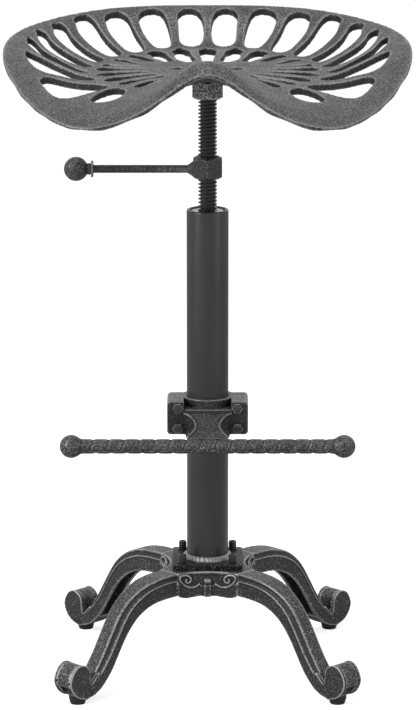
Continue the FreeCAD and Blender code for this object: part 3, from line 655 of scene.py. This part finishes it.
# Stretches of a leg's section, as steps across and down: the crown's edge, the
# bead line on the side, the side's lower edge and the corner of the hollow.
CROWN_EDGE = ((-1.6, 0.0), (-0.4, 0.25), (0.2, 0.9))
SIDE_BEAD = ((-0.9, -0.6), (-0.1, -0.4), (0.35, 0.3), (-0.1, 1.0), (-0.4, 1.3), (-0.3, 2.1))
LOWER_EDGE = ((-0.3, -1.0), (-0.9, 0.0), (-4.2, 0.0), (-4.6, -1.0))
HOLLOW_CORNER = ((-5.2, 3.0), (-7.4, 0.0))
COVE_DEPTH = 1.3
COVE_START = 0.9


def leg_section(depth, half, bead):
    """Half of a leg's section, from the crown's middle round to the hollow's."""
    wide = LEG_HALF_WIDTH
    cove = []
    for share in (0.25, 0.5, 0.75):
        across = half + (wide - half) * share - COVE_DEPTH * math.sin(math.pi * share)
        cove.append((across, max(bead * math.sqrt(share), COVE_START + share)))
    return [
        (0.0, 0.0), *from_point(CROWN_EDGE, half, 0.0), *cove, *from_point(SIDE_BEAD, wide, bead),
        *from_point(LOWER_EDGE, wide, depth), *from_point(HOLLOW_CORNER, wide, LEG_SKIN), (0.0, LEG_SKIN),
    ]


def leg_sweep():
    """The leg's length from the hub to the foot, hollow underneath."""
    rings = []
    for crown, sole in zip(smooth_line(LEG_CROWN, per_span=4), smooth_line(LEG_SOLE, per_span=4)):
        top = Vector((crown[0], 0, crown[1]))
        bottom = Vector((sole[0], 0, sole[1]))
        depth = (bottom - top).length
        down = (bottom - top) / depth
        half = leg_section(depth, crown[2], crown[3])
        mirrored = [(-across, fall) for across, fall in reversed(half[1:-1])]
        rings.append([top + down * fall + Vector((0, across, 0)) for across, fall in half + mirrored])
    return drawn_through(rings)


# The foot's side outline, as reach and height: the scroll's curl, the foot's
# underside, and the rest of the way round inside the leg.
CURL = (
    (188.9, 33.0), (191.0, 39.5), (197.5, 44.0), (204.5, 44.2), (210.8, 40.2), (214.9, 33.5), (216.4, 27.5),
    (215.4, 22.6),
)
FOOT_SOLE = ((213.2, 17.8), (208.5, 12.4), (201.5, 8.6), (192.3, 6.2))
FOOT_REST = ((181.5, 8.6), (172.0, 13.6), (166.0, 20.0), (175.0, 32.0), (184.2, 23.0), (186.8, 20.4))
CURL_MIDDLE = (202.0, 26.0)
CURL_HALF_WIDTH = 13.2

# The groove between the roll and each disc, and the bead on a disc's rim
ROLL_HALF_WIDTH = 9.0
RIM_START = 10.5
CURL_GROOVE = 0.93
GROOVE_OVERLAP = 0.3
RIM_BEAD = 0.8
RIM_BEAD_INSET = 0.5

POCKET_START = 205.0
POCKET_TOP = 22.0


def foot_slab(low, high, shrink=1.0):
    """The foot's side outline drawn out between two distances across the leg."""
    outline = [tuple(point) for point in smooth_line(CURL, per_span=5)] + list(FOOT_SOLE + FOOT_REST)
    middle, middle_height = CURL_MIDDLE
    points = [
        (middle + (reach - middle) * shrink, low, middle_height + (height - middle_height) * shrink)
        for reach, height in outline
    ]
    return plate_from(points, Vector((0, high - low, 0)))


def foot():
    """The scrolled foot: a roll between two discs, with a pocket under its outer side."""
    roll = (-ROLL_HALF_WIDTH, ROLL_HALF_WIDTH)
    groove_start = ROLL_HALF_WIDTH - GROOVE_OVERLAP
    groove_end = RIM_START + GROOVE_OVERLAP
    parts = [
        foot_slab(-CURL_HALF_WIDTH, -RIM_START),
        foot_slab(RIM_START, CURL_HALF_WIDTH),
        cut_off(foot_slab(*roll), (POCKET_START, 0, 0), (1, 0, 0)),
        cut_off(foot_slab(*roll), (0, 0, POCKET_TOP), (0, 0, -1)),
        foot_slab(-groove_end, -groove_start, CURL_GROOVE),
        foot_slab(groove_start, groove_end, CURL_GROOVE),
    ]
    rim = [tuple(point) for point in smooth_line(CURL, per_span=3)] + list(FOOT_SOLE)
    for side in (-1, 1):
        across = side * (CURL_HALF_WIDTH - RIM_BEAD_INSET)
        parts.append(tube_along([(reach, across, height) for reach, height in rim], RIM_BEAD))
    return parts


def legs():
    """Four cast legs, one skin turned to each diagonal."""
    skin = cast(joined(leg_sweep(), *foot()), BASE_VOXEL)
    for corner, angle in CORNERS:
        casting("leg_casting_" + corner, turned(skin, angle), "column", base_iron, "leg_" + corner)
    skin.free()


# Each side of the hub is a concave arc: HUB_WAIST from the axis in its middle,
# and HUB_SAG further out at HUB_SIDE to either side of it.
HUB_WAIST = 40.8
HUB_SIDE = 31.7
HUB_SAG = 10.25
HUB_BEND = (HUB_SIDE ** 2 + HUB_SAG ** 2) / (2 * HUB_SAG)
HUB_SETBACK = 0.8
HUB_ARC_STEPS = 12
HUB_WALL = 6.0
WALL_LIFT = 0.5
WALL_BELOW_TOP = 1.0
TOP_DEPTH = 9.0
LEDGE_DEPTH = 2.6
LEDGE_SPREAD = 1.02
# The blocks that the legs are screwed to: start, end and half their width
CORNER_BLOCK = (44.0, 59.0, 13.2)
BLOCK_BELOW_TOP = 0.4
BLOCK_EDGE = 0.6

# The relief of one side, as places across and heights
SCROLL = (
    (-19.1, 105.9), (-17.5, 108.6), (-18.5, 111.4), (-21.2, 113.7), (-24.5, 114.7), (-28.0, 114.5),
    (-29.9, 112.6), (-29.6, 109.5), (-27.2, 105.6), (-23.2, 101.9), (-18.5, 99.9), (-13.8, 100.2),
    (-9.7, 102.4), (-8.0, 103.7),
)
INNER_CURL = ((-19.1, 105.9), (-21.4, 105.2), (-23.4, 106.6), (-23.6, 109.0), (-21.8, 110.0))
SCROLL_BEAD = 1.15
INNER_CURL_BEAD = 0.8
SCROLL_FRONT = -0.9
APRON_LOW = (
    (-31.4, 90.9), (-26.0, 88.9), (-22.0, 88.3), (-16.5, 88.7), (-11.5, 89.4), (-5.2, 89.7), (0.0, 89.2),
    (5.2, 89.7), (11.5, 89.4), (16.5, 88.7), (22.0, 88.3), (26.0, 88.9), (31.4, 90.9),
)
APRON_HIGH = (
    (31.4, 105.6), (27.2, 104.6), (23.2, 100.9), (18.5, 98.9), (13.8, 99.2), (9.7, 101.2), (6.0, 102.2),
    (-6.0, 102.2), (-9.7, 101.2), (-13.8, 99.2), (-18.5, 98.9), (-23.2, 100.9), (-27.2, 104.6),
    (-31.4, 105.6),
)
APRON_FRONT = -1.3
APRON_DEPTH = 6.0
APRON_CUTS = 3
LONG_EDGE = 4.0

# The little turned post at each end, as radius and height
POST = (
    (0.0, 92.4), (1.2, 92.4), (1.3, 93.4), (1.3, 103.6), (1.0, 104.2), (1.9, 105.0), (2.1, 106.2),
    (1.6, 107.4), (0.0, 108.0),
)
POST_REACH = 32.6
POST_BACK = 0.4
BUD_SIZE = (4.3, 3.4, 3.1)
BUD_PLACE = (0, -1.2, 106.8)
TAB = ((-3.7, -3.0, 88.8), (3.7, 3.0, 102.2), 1.0)
NECK = ((-3.2, -2.2, 101.0), (3.2, 3.0, 105.0), 0.8)


def hub_side(across, waist):
    """How far a side of the hub lies from the axis."""
    return waist + HUB_BEND - math.sqrt(HUB_BEND ** 2 - min(abs(across), HUB_SIDE) ** 2)


def hub_panel():
    """The scrolled relief of one side, made flat and laid onto the hub's concave side."""
    outline = [(across, APRON_FRONT, height) for across, height in APRON_LOW + APRON_HIGH]
    apron = plate_from(outline, Vector((0, APRON_DEPTH, 0)))
    bmesh.ops.triangulate(apron, faces=[face for face in apron.faces if len(face.verts) > 4])
    long_edges = [edge for edge in apron.edges if edge.calc_length() > LONG_EDGE]
    bmesh.ops.subdivide_edges(apron, edges=long_edges, cuts=APRON_CUTS, use_grid_fill=True)
    parts = [apron]
    for side in (-1, 1):
        for line, radius in ((SCROLL, SCROLL_BEAD), (INNER_CURL, INNER_CURL_BEAD)):
            places = [(side * across, SCROLL_FRONT, height) for across, height in line]
            parts.append(tube_along(places, radius))
        post = lathe(POST, steps=24)
        parts.append(moved(post, Matrix.Translation((side * POST_REACH, POST_BACK, 0))))
    bud = bmesh.new()
    bmesh.ops.create_icosphere(bud, subdivisions=3, radius=1.0)
    bmesh.ops.scale(bud, vec=BUD_SIZE, verts=bud.verts)
    bmesh.ops.translate(bud, vec=BUD_PLACE, verts=bud.verts)
    panel = joined(*parts, bud, block(*TAB), block(*NECK))
    for vert in panel.verts:
        vert.co.y -= hub_side(vert.co.x, HUB_WAIST)
    return panel


def hub_layer(outline, depth):
    """A flat layer of the hub, down from its top."""
    lifted = [point + Vector((0, 0, hub_high.z - depth)) for point in outline]
    return plate_from(lifted, Vector((0, 0, depth)))


def hub():
    """The waisted centre of the base with a scroll on each side, hollow underneath."""
    arc = []
    for k in range(HUB_ARC_STEPS + 1):
        across = -HUB_SIDE + 2 * HUB_SIDE * k / HUB_ARC_STEPS
        arc.append(Vector((across, -hub_side(across, HUB_WAIST - HUB_SETBACK), 0)))
    inner = [point + Vector((0, HUB_WALL, 0)) for point in reversed(arc)]
    spins = [Matrix.Rotation(math.radians(quarter), 3, "Z") for quarter in QUARTERS]
    outline = [spin @ point for spin in spins for point in arc]
    parts = [
        hub_layer(outline, TOP_DEPTH),
        hub_layer([point * LEDGE_SPREAD for point in outline], LEDGE_DEPTH),
    ]
    low = Vector((0, 0, hub_low.z + WALL_LIFT))
    wall_height = Vector((0, 0, hub_high.z - low.z - WALL_BELOW_TOP))
    start, end, half = CORNER_BLOCK
    block_top = hub_high.z - BLOCK_BELOW_TOP
    for quarter, spin in zip(QUARTERS, spins):
        parts.append(plate_from([spin @ point + low for point in arc + inner], wall_height))
        corner = block((start, -half, hub_low.z), (end, half, block_top), BLOCK_EDGE)
        parts.append(moved(corner, Matrix.Rotation(math.radians(45 + quarter), 4, "Z")))
    panel = hub_panel()
    parts += [turned(panel, quarter) for quarter in QUARTERS]
    panel.free()
    casting("hub_casting", cast(joined(*parts), BASE_VOXEL), "column", base_iron, "base_hub")


# Column

PLATE_CORNER = 4.0
PLATE_EDGE = 0.7
TUBE_WALL = 3.7
# The tube's mouth, as steps out and up from its outer and inner top edge
MOUTH_OUTSIDE = ((0.0, -1.6), (-0.3, -0.7), (-1.0, -0.15), (-1.7, 0.0))
MOUTH_INSIDE = ((1.0, 0.0), (0.3, -0.3), (0.0, -1.0))


def column():
    """The square plate on the base and the tube that stands on it."""
    plate = block(plate_low, plate_high)
    uprights = [edge for edge in plate.edges if steepness(edge) > 1.0]
    bevelled(plate, uprights, PLATE_CORNER, segments=5)
    level = [edge for edge in plate.edges if steepness(edge) < 0.01 and edge.calc_face_angle(0.0) > 1.0]
    bevelled(plate, level, PLATE_EDGE, segments=3)
    piece("column_flange", plate, "column", plate_black_and_shade, ("column_plate",), sharp=40)

    outer = tube_high.x
    inner = outer - TUBE_WALL
    top = tube_high.z
    profile = [
        (inner, tube_low.z), (outer, tube_low.z),
        *from_point(MOUTH_OUTSIDE, outer, top), *from_point(MOUTH_INSIDE, inner, top),
    ]
    wall = lathe(profile, steps=128, closed=True)
    piece("column_pipe", wall, "column", tube_paint, ("column_tube",), sharp=50)


# The weld's section, as shares of its reach and its height, and its ripples
WELD_SECTION = ((1.0, 0.0), (0.97, 0.3), (0.78, 0.62), (0.42, 0.9))
WELD_OVERLAP = 0.4
WELD_RIPPLES = 38
STEPS_PER_RIPPLE = 10
RIPPLE_WANDER = 0.35
RIPPLE_LEAN = 0.5
RIPPLE_ROUNDING = 0.6
RIPPLE_DEPTH = 0.34
RIPPLE_FALL = 0.26
BEAD_WANDER = 0.08


def weld():
    """A rippled weld bead round the tube's foot."""
    inner = tube_high.x
    reach = weld_high.x - inner
    low = weld_low.z
    height = weld_high.z - low
    section = [(inner + reach * out, low + height * up) for out, up in WELD_SECTION]
    profile = [(inner - WELD_OVERLAP, low), *section, (inner - WELD_OVERLAP, low + height)]
    bead = lathe(profile, WELD_RIPPLES * STEPS_PER_RIPPLE, closed=True)
    for vert in bead.verts:
        angle = math.atan2(vert.co.y, vert.co.x)
        out = Vector((vert.co.x, vert.co.y)).length - inner
        lift = max(out, 0.0) / reach
        wander = RIPPLE_WANDER * math.sin(5 * angle)
        phase = angle * WELD_RIPPLES / FULL_TURN + wander - RIPPLE_LEAN * lift
        wave = (phase % 1.0) ** RIPPLE_ROUNDING
        shrink = 1.0 - RIPPLE_DEPTH * (1.0 - wave) - BEAD_WANDER * math.sin(7 * angle + 1.0)
        scale = (inner + out * shrink) / max(inner + out, 1.0)
        vert.co.x *= scale
        vert.co.y *= scale
        vert.co.z = low + (vert.co.z - low) * (1.0 - RIPPLE_FALL * (1.0 - wave))
    piece("weld_ring", bead, "column", weld_metal, ("weld_bead",), sharp=35)


# A socket screw's head: its edges, as steps out and up from the foot and the
# top of its side, and its socket, as radius and step up from the top.
SCREW_HEAD_RADIUS = 4.2
HEAD_OVERLAP = 0.2
HEAD_FOOT = ((-0.3, -HEAD_OVERLAP), (0.0, 0.2))
HEAD_TOP = ((0.0, -1.5), (-0.3, -0.6), (-1.0, -0.1), (-1.4, 0.0))
HEAD_SOCKET = ((2.5, 0.0), (2.3, -0.4), (2.3, -3.5), (0.0, -4.0))


def plate_fasteners():
    """Black socket screws at the plate's corners."""
    high = node_box("column_screws")[1]
    bottom = node_box("column_washers")[1].z
    offset = high.x - SCREW_HEAD_RADIUS
    rise = high.z - bottom
    profile = [
        (0.0, -HEAD_OVERLAP), *from_point(HEAD_FOOT, SCREW_HEAD_RADIUS, 0.0),
        *from_point(HEAD_TOP, SCREW_HEAD_RADIUS, rise), *from_point(HEAD_SOCKET, 0.0, rise),
    ]
    parts = []
    for x, y in ((offset, offset), (-offset, offset), (-offset, -offset), (offset, -offset)):
        parts.append(moved(lathe(profile, steps=32), Matrix.Translation((x, y, bottom))))
    screws = joined(*parts)
    piece("plate_screws", screws, "column", black_steel, ("column_screws",), sharp=35)


# Spindle, lock lever and seat nut

# One turn of the thread, as radius and height
THREAD = ((7.75, 0.0), (9.85, 0.5), (10.0, 0.66), (10.0, 1.84), (9.85, 2.0), (7.75, 2.5), (7.75, 4.0))
THREAD_PITCH = 4.0
THREAD_STEPS = 32
THREAD_CORE = 7.7
PLAIN_END = 12.0
PLAIN_END_RADIUS = 7.0


def spindle():
    """The trapezoidal right-hand thread, one turn of its profile spun upwards."""
    start = spindle_low.z + PLAIN_END
    turns = int((spindle_high.z - start) / THREAD_PITCH) - 1
    part = bmesh.new()
    points = [part.verts.new((radius, 0, start + height)) for radius, height in THREAD]
    edges = [part.edges.new(pair) for pair in zip(points, points[1:])]
    bmesh.ops.spin(
        part, geom=points + edges, cent=(0, 0, 0), axis=AXIS_Z, angle=FULL_TURN * turns,
        steps=THREAD_STEPS * turns, dvec=(0, 0, THREAD_PITCH / THREAD_STEPS),
        use_merge=False, use_duplicate=False,
    )
    bmesh.ops.remove_doubles(part, verts=part.verts, dist=0.01)
    closed_up(part)
    bmesh.ops.triangulate(part, faces=[face for face in part.faces if len(face.verts) > 4])
    bmesh.ops.recalc_face_normals(part, faces=part.faces)
    core = lathe(
        (
            (0.0, spindle_low.z), (PLAIN_END_RADIUS, spindle_low.z), (PLAIN_END_RADIUS, start),
            (THREAD_CORE, start), (THREAD_CORE, spindle_high.z), (0.0, spindle_high.z),
        ),
        steps=48,
    )
    screw = joined(part, core)
    piece("threaded_spindle", screw, "seat", black_steel, ("spindle",), sharp=30)


NUT_VOXEL = 0.45
TANG_RADIUS = 3.4
TANG_LENGTH = 3.0
# The rod's end, as steps out and along from where it meets the collar
ROD_END = ((0.0, -0.6), (0.4, 0.0))
# The turned collar before the ball, as radius and step along the lever
COLLAR = (
    (8.3, 0.0), (9.0, 0.4), (9.1, 2.0), (8.3, 2.6), (6.0, 2.8), (5.5, 3.1), (6.5, 3.7), (6.6, 4.3),
    (6.1, 5.0),
)
COLLAR_LENGTH = 5.4
BALL_NECK_RADIUS = 6.0
BALL_STEPS = 24


def lock_lever():
    """The lock nut with its neck, and the turned lever with a ball end."""
    nut = cast(cad_copy("lock_nut"), NUT_VOXEL)
    casting("lock_hexagon", nut, "lock_lever", fitting_iron, "lock_nut")
    height = (rod_low.z + rod_high.z) / 2
    radius = (rod_high.z - rod_low.z) / 2
    ball = (knob_high.z - knob_low.z) / 2
    start = -rod_high.x
    reach = -(knob_low.x + ball)
    flange = reach - ball - COLLAR_LENGTH
    tang_end = start + TANG_LENGTH
    profile = [
        (0.0, start), (TANG_RADIUS, start), (TANG_RADIUS, tang_end), (radius, tang_end),
        *from_point(ROD_END, radius, flange), *from_point(COLLAR, 0.0, flange),
    ]
    neck = math.asin(BALL_NECK_RADIUS / ball)
    for k in range(BALL_STEPS):
        angle = neck + (math.pi - neck) * k / BALL_STEPS
        profile.append((ball * math.sin(angle), reach - ball * math.cos(angle)))
    profile.append((0.0, reach + ball))
    lever = along(lathe(profile, steps=64), (0, 0, height), (-1, 0, 0))
    piece(
        "lever_handle", lever, "lock_lever", fitting_iron, ("lever_rod", "lever_knob"),
        sharp=50,
    )


def seat_nut():
    """The nut under the seat."""
    casting("seat_hexagon", cast(cad_copy("seat_nut"), NUT_VOXEL), "seat", nut_rub_and_light, "seat_nut")


# Footrest

FOOTREST_VOXEL = 0.6
BAR_STATIONS = 420
BAR_SIDES = 40

# Slanting grooves at even distances, and a seam along the bar where the upper
# and the lower ones meet. Up and front are shares of the bar's radius.
RIB_SPACING = 16.5
RIB_FIRST = 8.3
GROOVE_WIDTH = 1.25
GROOVE_DEPTH = 0.75
RIB_SWELL = 0.1
BAR_INSET = 0.1
UPPER_SLANT, UPPER_MIDDLE = 3.0, 0.3
LOWER_SLANT, LOWER_MIDDLE, LOWER_SHIFT = 1.5, -0.5, 5.5
MEETING_SLOPE = 0.28
SEAM_SLOPE = 0.3
SEAM_WIDTH = 0.11
SEAM_DEPTH = 0.4

# The neck between bar and ball, as radius and step from the ball's middle
BALL_NECK = ((0.0, 0.0), (9.2, 0.0), (8.0, 2.2))
BALL_NECK_LENGTH = 5.0
BALL_NECK_START = 8.4


def bar_girth(x, up, front, radius):
    """The bar's radius at a place on its skin."""
    if up > -MEETING_SLOPE * front:
        slant = UPPER_SLANT * (up - UPPER_MIDDLE)
    else:
        slant = LOWER_SHIFT + LOWER_SLANT * (up - LOWER_MIDDLE)
    place = (x - RIB_FIRST - slant) / RIB_SPACING
    near = abs(place - round(place)) * RIB_SPACING
    groove = GROOVE_DEPTH * math.exp(-(near / GROOVE_WIDTH) ** 2)
    swell = RIB_SWELL * math.cos(FULL_TURN * place)
    seam = SEAM_DEPTH * math.exp(-((up + SEAM_SLOPE * front) / SEAM_WIDTH) ** 2)
    return radius - BAR_INSET - groove - swell - seam


def twisted_bar():
    """A ribbed bar with a ball at each end."""
    reach = bar_high.x
    radius = (bar_high.z - bar_low.z) / 2
    bar = bmesh.new()
    bmesh.ops.create_circle(bar, cap_ends=True, segments=BAR_SIDES, radius=1.0)
    bmesh.ops.rotate(bar, cent=(0, 0, 0), matrix=Matrix.Rotation(math.pi / 2, 3, "Y"), verts=bar.verts)
    end_face = bar.faces[:][0]
    for _ in range(BAR_STATIONS):
        end_face = next_end(bar, end_face)
        bmesh.ops.translate(bar, vec=(1.0, 0, 0), verts=end_face.verts)
    for vert in bar.verts:
        x = (vert.co.x / BAR_STATIONS * 2 - 1) * reach
        size = bar_girth(x, vert.co.z, -vert.co.y, radius)
        vert.co = Vector((x, vert.co.y * size, vert.co.z * size))
    centre = Vector((0, (bar_low.y + bar_high.y) / 2, (bar_low.z + bar_high.z) / 2))
    bmesh.ops.translate(bar, vec=centre, verts=bar.verts)
    ball_radius = ball_high.x - reach
    parts = [bar]
    for side in (-1, 1):
        ball = bmesh.new()
        bmesh.ops.create_icosphere(ball, subdivisions=4, radius=ball_radius)
        bmesh.ops.translate(ball, vec=centre + Vector((side * reach, 0, 0)), verts=ball.verts)
        neck = lathe((*BALL_NECK, (radius, BALL_NECK_LENGTH), (0.0, BALL_NECK_LENGTH)), steps=48)
        start = centre + Vector((side * (reach - BALL_NECK_START), 0, 0))
        parts += [ball, along(neck, start, (-side, 0, 0))]
    casting(
        "footrest_rod", cast(joined(*parts), FOOTREST_VOXEL), "footrest", bar_iron,
        "footrest_bar", "footrest_ball_left", "footrest_ball_right",
    )


# The clamp arm's upper edge, as places across and to the front, and the
# height from which it falls towards the bar.
ARM_EDGE = (
    (26.0, -34.6), (23.0, -35.5), (20.6, -37.0), (17.0, -41.0), (13.8, -47.0), (12.5, -52.5),
    (13.0, -58.0), (15.6, -63.5), (19.4, -69.0), (21.5, -72.0),
)
ARM_HIGH = 292.6
ARM_FALL = 0.46
ARM_START = 31.0
ARM_BEAD = 1.5
# The fillet under the arm's root: across, to the front, and up from the clamp's foot
ROOT_FILLET = ((23.5, -34.0, 2.2), (19.0, -34.8, 3.2), (15.8, -37.0, 4.8), (14.2, -40.5, 6.2))
FILLET_BEAD = 1.4


def clamp():
    """Both halves of the footrest clamp, the front one with its waisted arm."""
    parts = [cad_copy("clamp_front")]
    for side in (-1, 1):
        edge = [(side * x, y, ARM_HIGH - ARM_FALL * (-y - ARM_START)) for x, y in ARM_EDGE]
        fillet = [(side * x, y, clamp_low.z + rise) for x, y, rise in ROOT_FILLET]
        parts += [tube_along(edge, ARM_BEAD), tube_along(fillet, FILLET_BEAD)]
    front = cast(joined(*parts), FOOTREST_VOXEL)
    casting("clamp_front_casting", front, "footrest", clamp_iron, "clamp_front")
    rear = cast(cad_copy("clamp_rear"), FOOTREST_VOXEL)
    casting("clamp_rear_casting", rear, "footrest", clamp_iron, "clamp_rear")


BOLT_FLATS = 10.0
BOLT_HEAD = 4.0
BOLT_CHAMFER = 0.7
BOLT_RADIUS = 3.0
BOLT_END = 0.6
SHANK_OVERLAP = 0.5


def clamp_fasteners():
    """Four hexagon bolts through the clamp, their heads rubbed bright at the rim."""
    corner = BOLT_FLATS / math.sqrt(3)
    x = bolt_high.x - BOLT_FLATS / 2
    length = bolt_high.y - bolt_low.y
    start = BOLT_HEAD - SHANK_OVERLAP
    shank = (
        (0.0, start), (BOLT_RADIUS, start), (BOLT_RADIUS, length - BOLT_END),
        (BOLT_RADIUS - BOLT_END, length), (0.0, length),
    )
    parts = []
    for side in (-1, 1):
        for height in (bolt_low.z + corner, bolt_high.z - corner):
            head = hex_head(BOLT_FLATS, BOLT_HEAD, BOLT_CHAMFER, turn=30.0)
            bolt = joined(head, lathe(shank, steps=24))
            parts.append(along(bolt, (side * x, bolt_low.y, height), (0, 1, 0)))
    bolts = joined(*parts)
    piece("clamp_hex_bolts", bolts, "footrest", bolt_steel, ("clamp_bolts",), sharp=30)


seat()
legs()
hub()
column()
weld()
plate_fasteners()
spindle()
lock_lever()
seat_nut()
twisted_bar()
clamp()
clamp_fasteners()


# Studio

CAMERA_PLACE = (0.00043, -3.92040, 1.22479)
CAMERA_PITCH = 12.611
FOCAL_PIXELS = 3726.55
PHOTO_HEIGHT = 710.0
SENSOR = 36.0
WORLD_LIGHT = 0.36
FLOOR_SIZE = 30.0
FLOOR_GREY = 0.82
FLOOR_ROUGHNESS = 0.9
FLOOR_GLOW = 0.7


def camera():
    """The photograph's view, from the front and tilted down."""
    data = bpy.data.cameras.new("camera")
    data.sensor_width = SENSOR
    data.lens = FOCAL_PIXELS / PHOTO_HEIGHT * SENSOR
    data.clip_start = 0.1
    data.clip_end = 100.0
    made = linked("camera", data)
    made.location = CAMERA_PLACE
    made.rotation_euler = (math.radians(90.0 - CAMERA_PITCH), 0.0, 0.0)
    bpy.context.scene.camera = made


def seen_directly(tree):
    """One for rays from the camera, for reflections and for what is seen through glass."""
    path = put(tree, "ShaderNodeLightPath")
    seen = calculated(tree, "MAXIMUM", path.outputs["Is Camera Ray"], path.outputs["Is Glossy Ray"])
    return calculated(tree, "MAXIMUM", seen, path.outputs["Is Transmission Ray"])


def world():
    """White where it is seen, and a soft light on everything else."""
    made = bpy.data.worlds.new("studio")
    bpy.context.scene.world = made
    made.use_nodes = True
    tree = made.node_tree
    background = tree.nodes["Background"]
    background.inputs["Color"].default_value = grey(1.0)
    strength = ramp(tree, seen_directly(tree), 0.0, 1.0, WORLD_LIGHT, 1.0)
    feed(tree, background.inputs["Strength"], strength)


def floor():
    """A plain pale floor that the camera sees as white round the soft shadow."""
    part = bmesh.new()
    bmesh.ops.create_grid(part, x_segments=2, y_segments=2, size=FLOOR_SIZE)
    mesh = bpy.data.meshes.new("floor")
    part.to_mesh(mesh)
    part.free()
    material, tree, shader = new_material("studio_floor")
    shader.inputs["Base Color"].default_value = grey(FLOOR_GREY)
    shader.inputs["Roughness"].default_value = FLOOR_ROUGHNESS
    shader.inputs["Specular IOR Level"].default_value = 0.0
    shader.inputs["Emission Color"].default_value = grey(1.0)
    seen = put(tree, "ShaderNodeLightPath").outputs["Is Camera Ray"]
    glow = calculated(tree, "MULTIPLY", seen, FLOOR_GLOW)
    feed(tree, shader.inputs["Emission Strength"], glow)
    mesh.materials.append(material)
    linked("floor", mesh)


def lamp(name, place, target, size, power):
    """A round lamp at a place, turned towards a target."""
    data = bpy.data.lights.new(name, "AREA")
    data.shape = "DISK"
    data.size = size
    data.energy = power
    made = linked(name, data)
    made.location = place
    made.rotation_euler = (Vector(target) - Vector(place)).to_track_quat("-Z", "Y").to_euler()


camera()
world()
floor()
lamp("overhead", (0.0, -0.2, 3.2), (0.0, 0.0, 0.5), 2.0, 27.0)
lamp("left", (-2.6, -1.6, 1.9), (0.0, 0.0, 0.45), 1.4, 60.0)
lamp("right", (2.6, -1.6, 1.6), (0.0, 0.0, 0.45), 1.4, 18.0)

bpy.context.scene.view_settings.view_transform = "Standard"
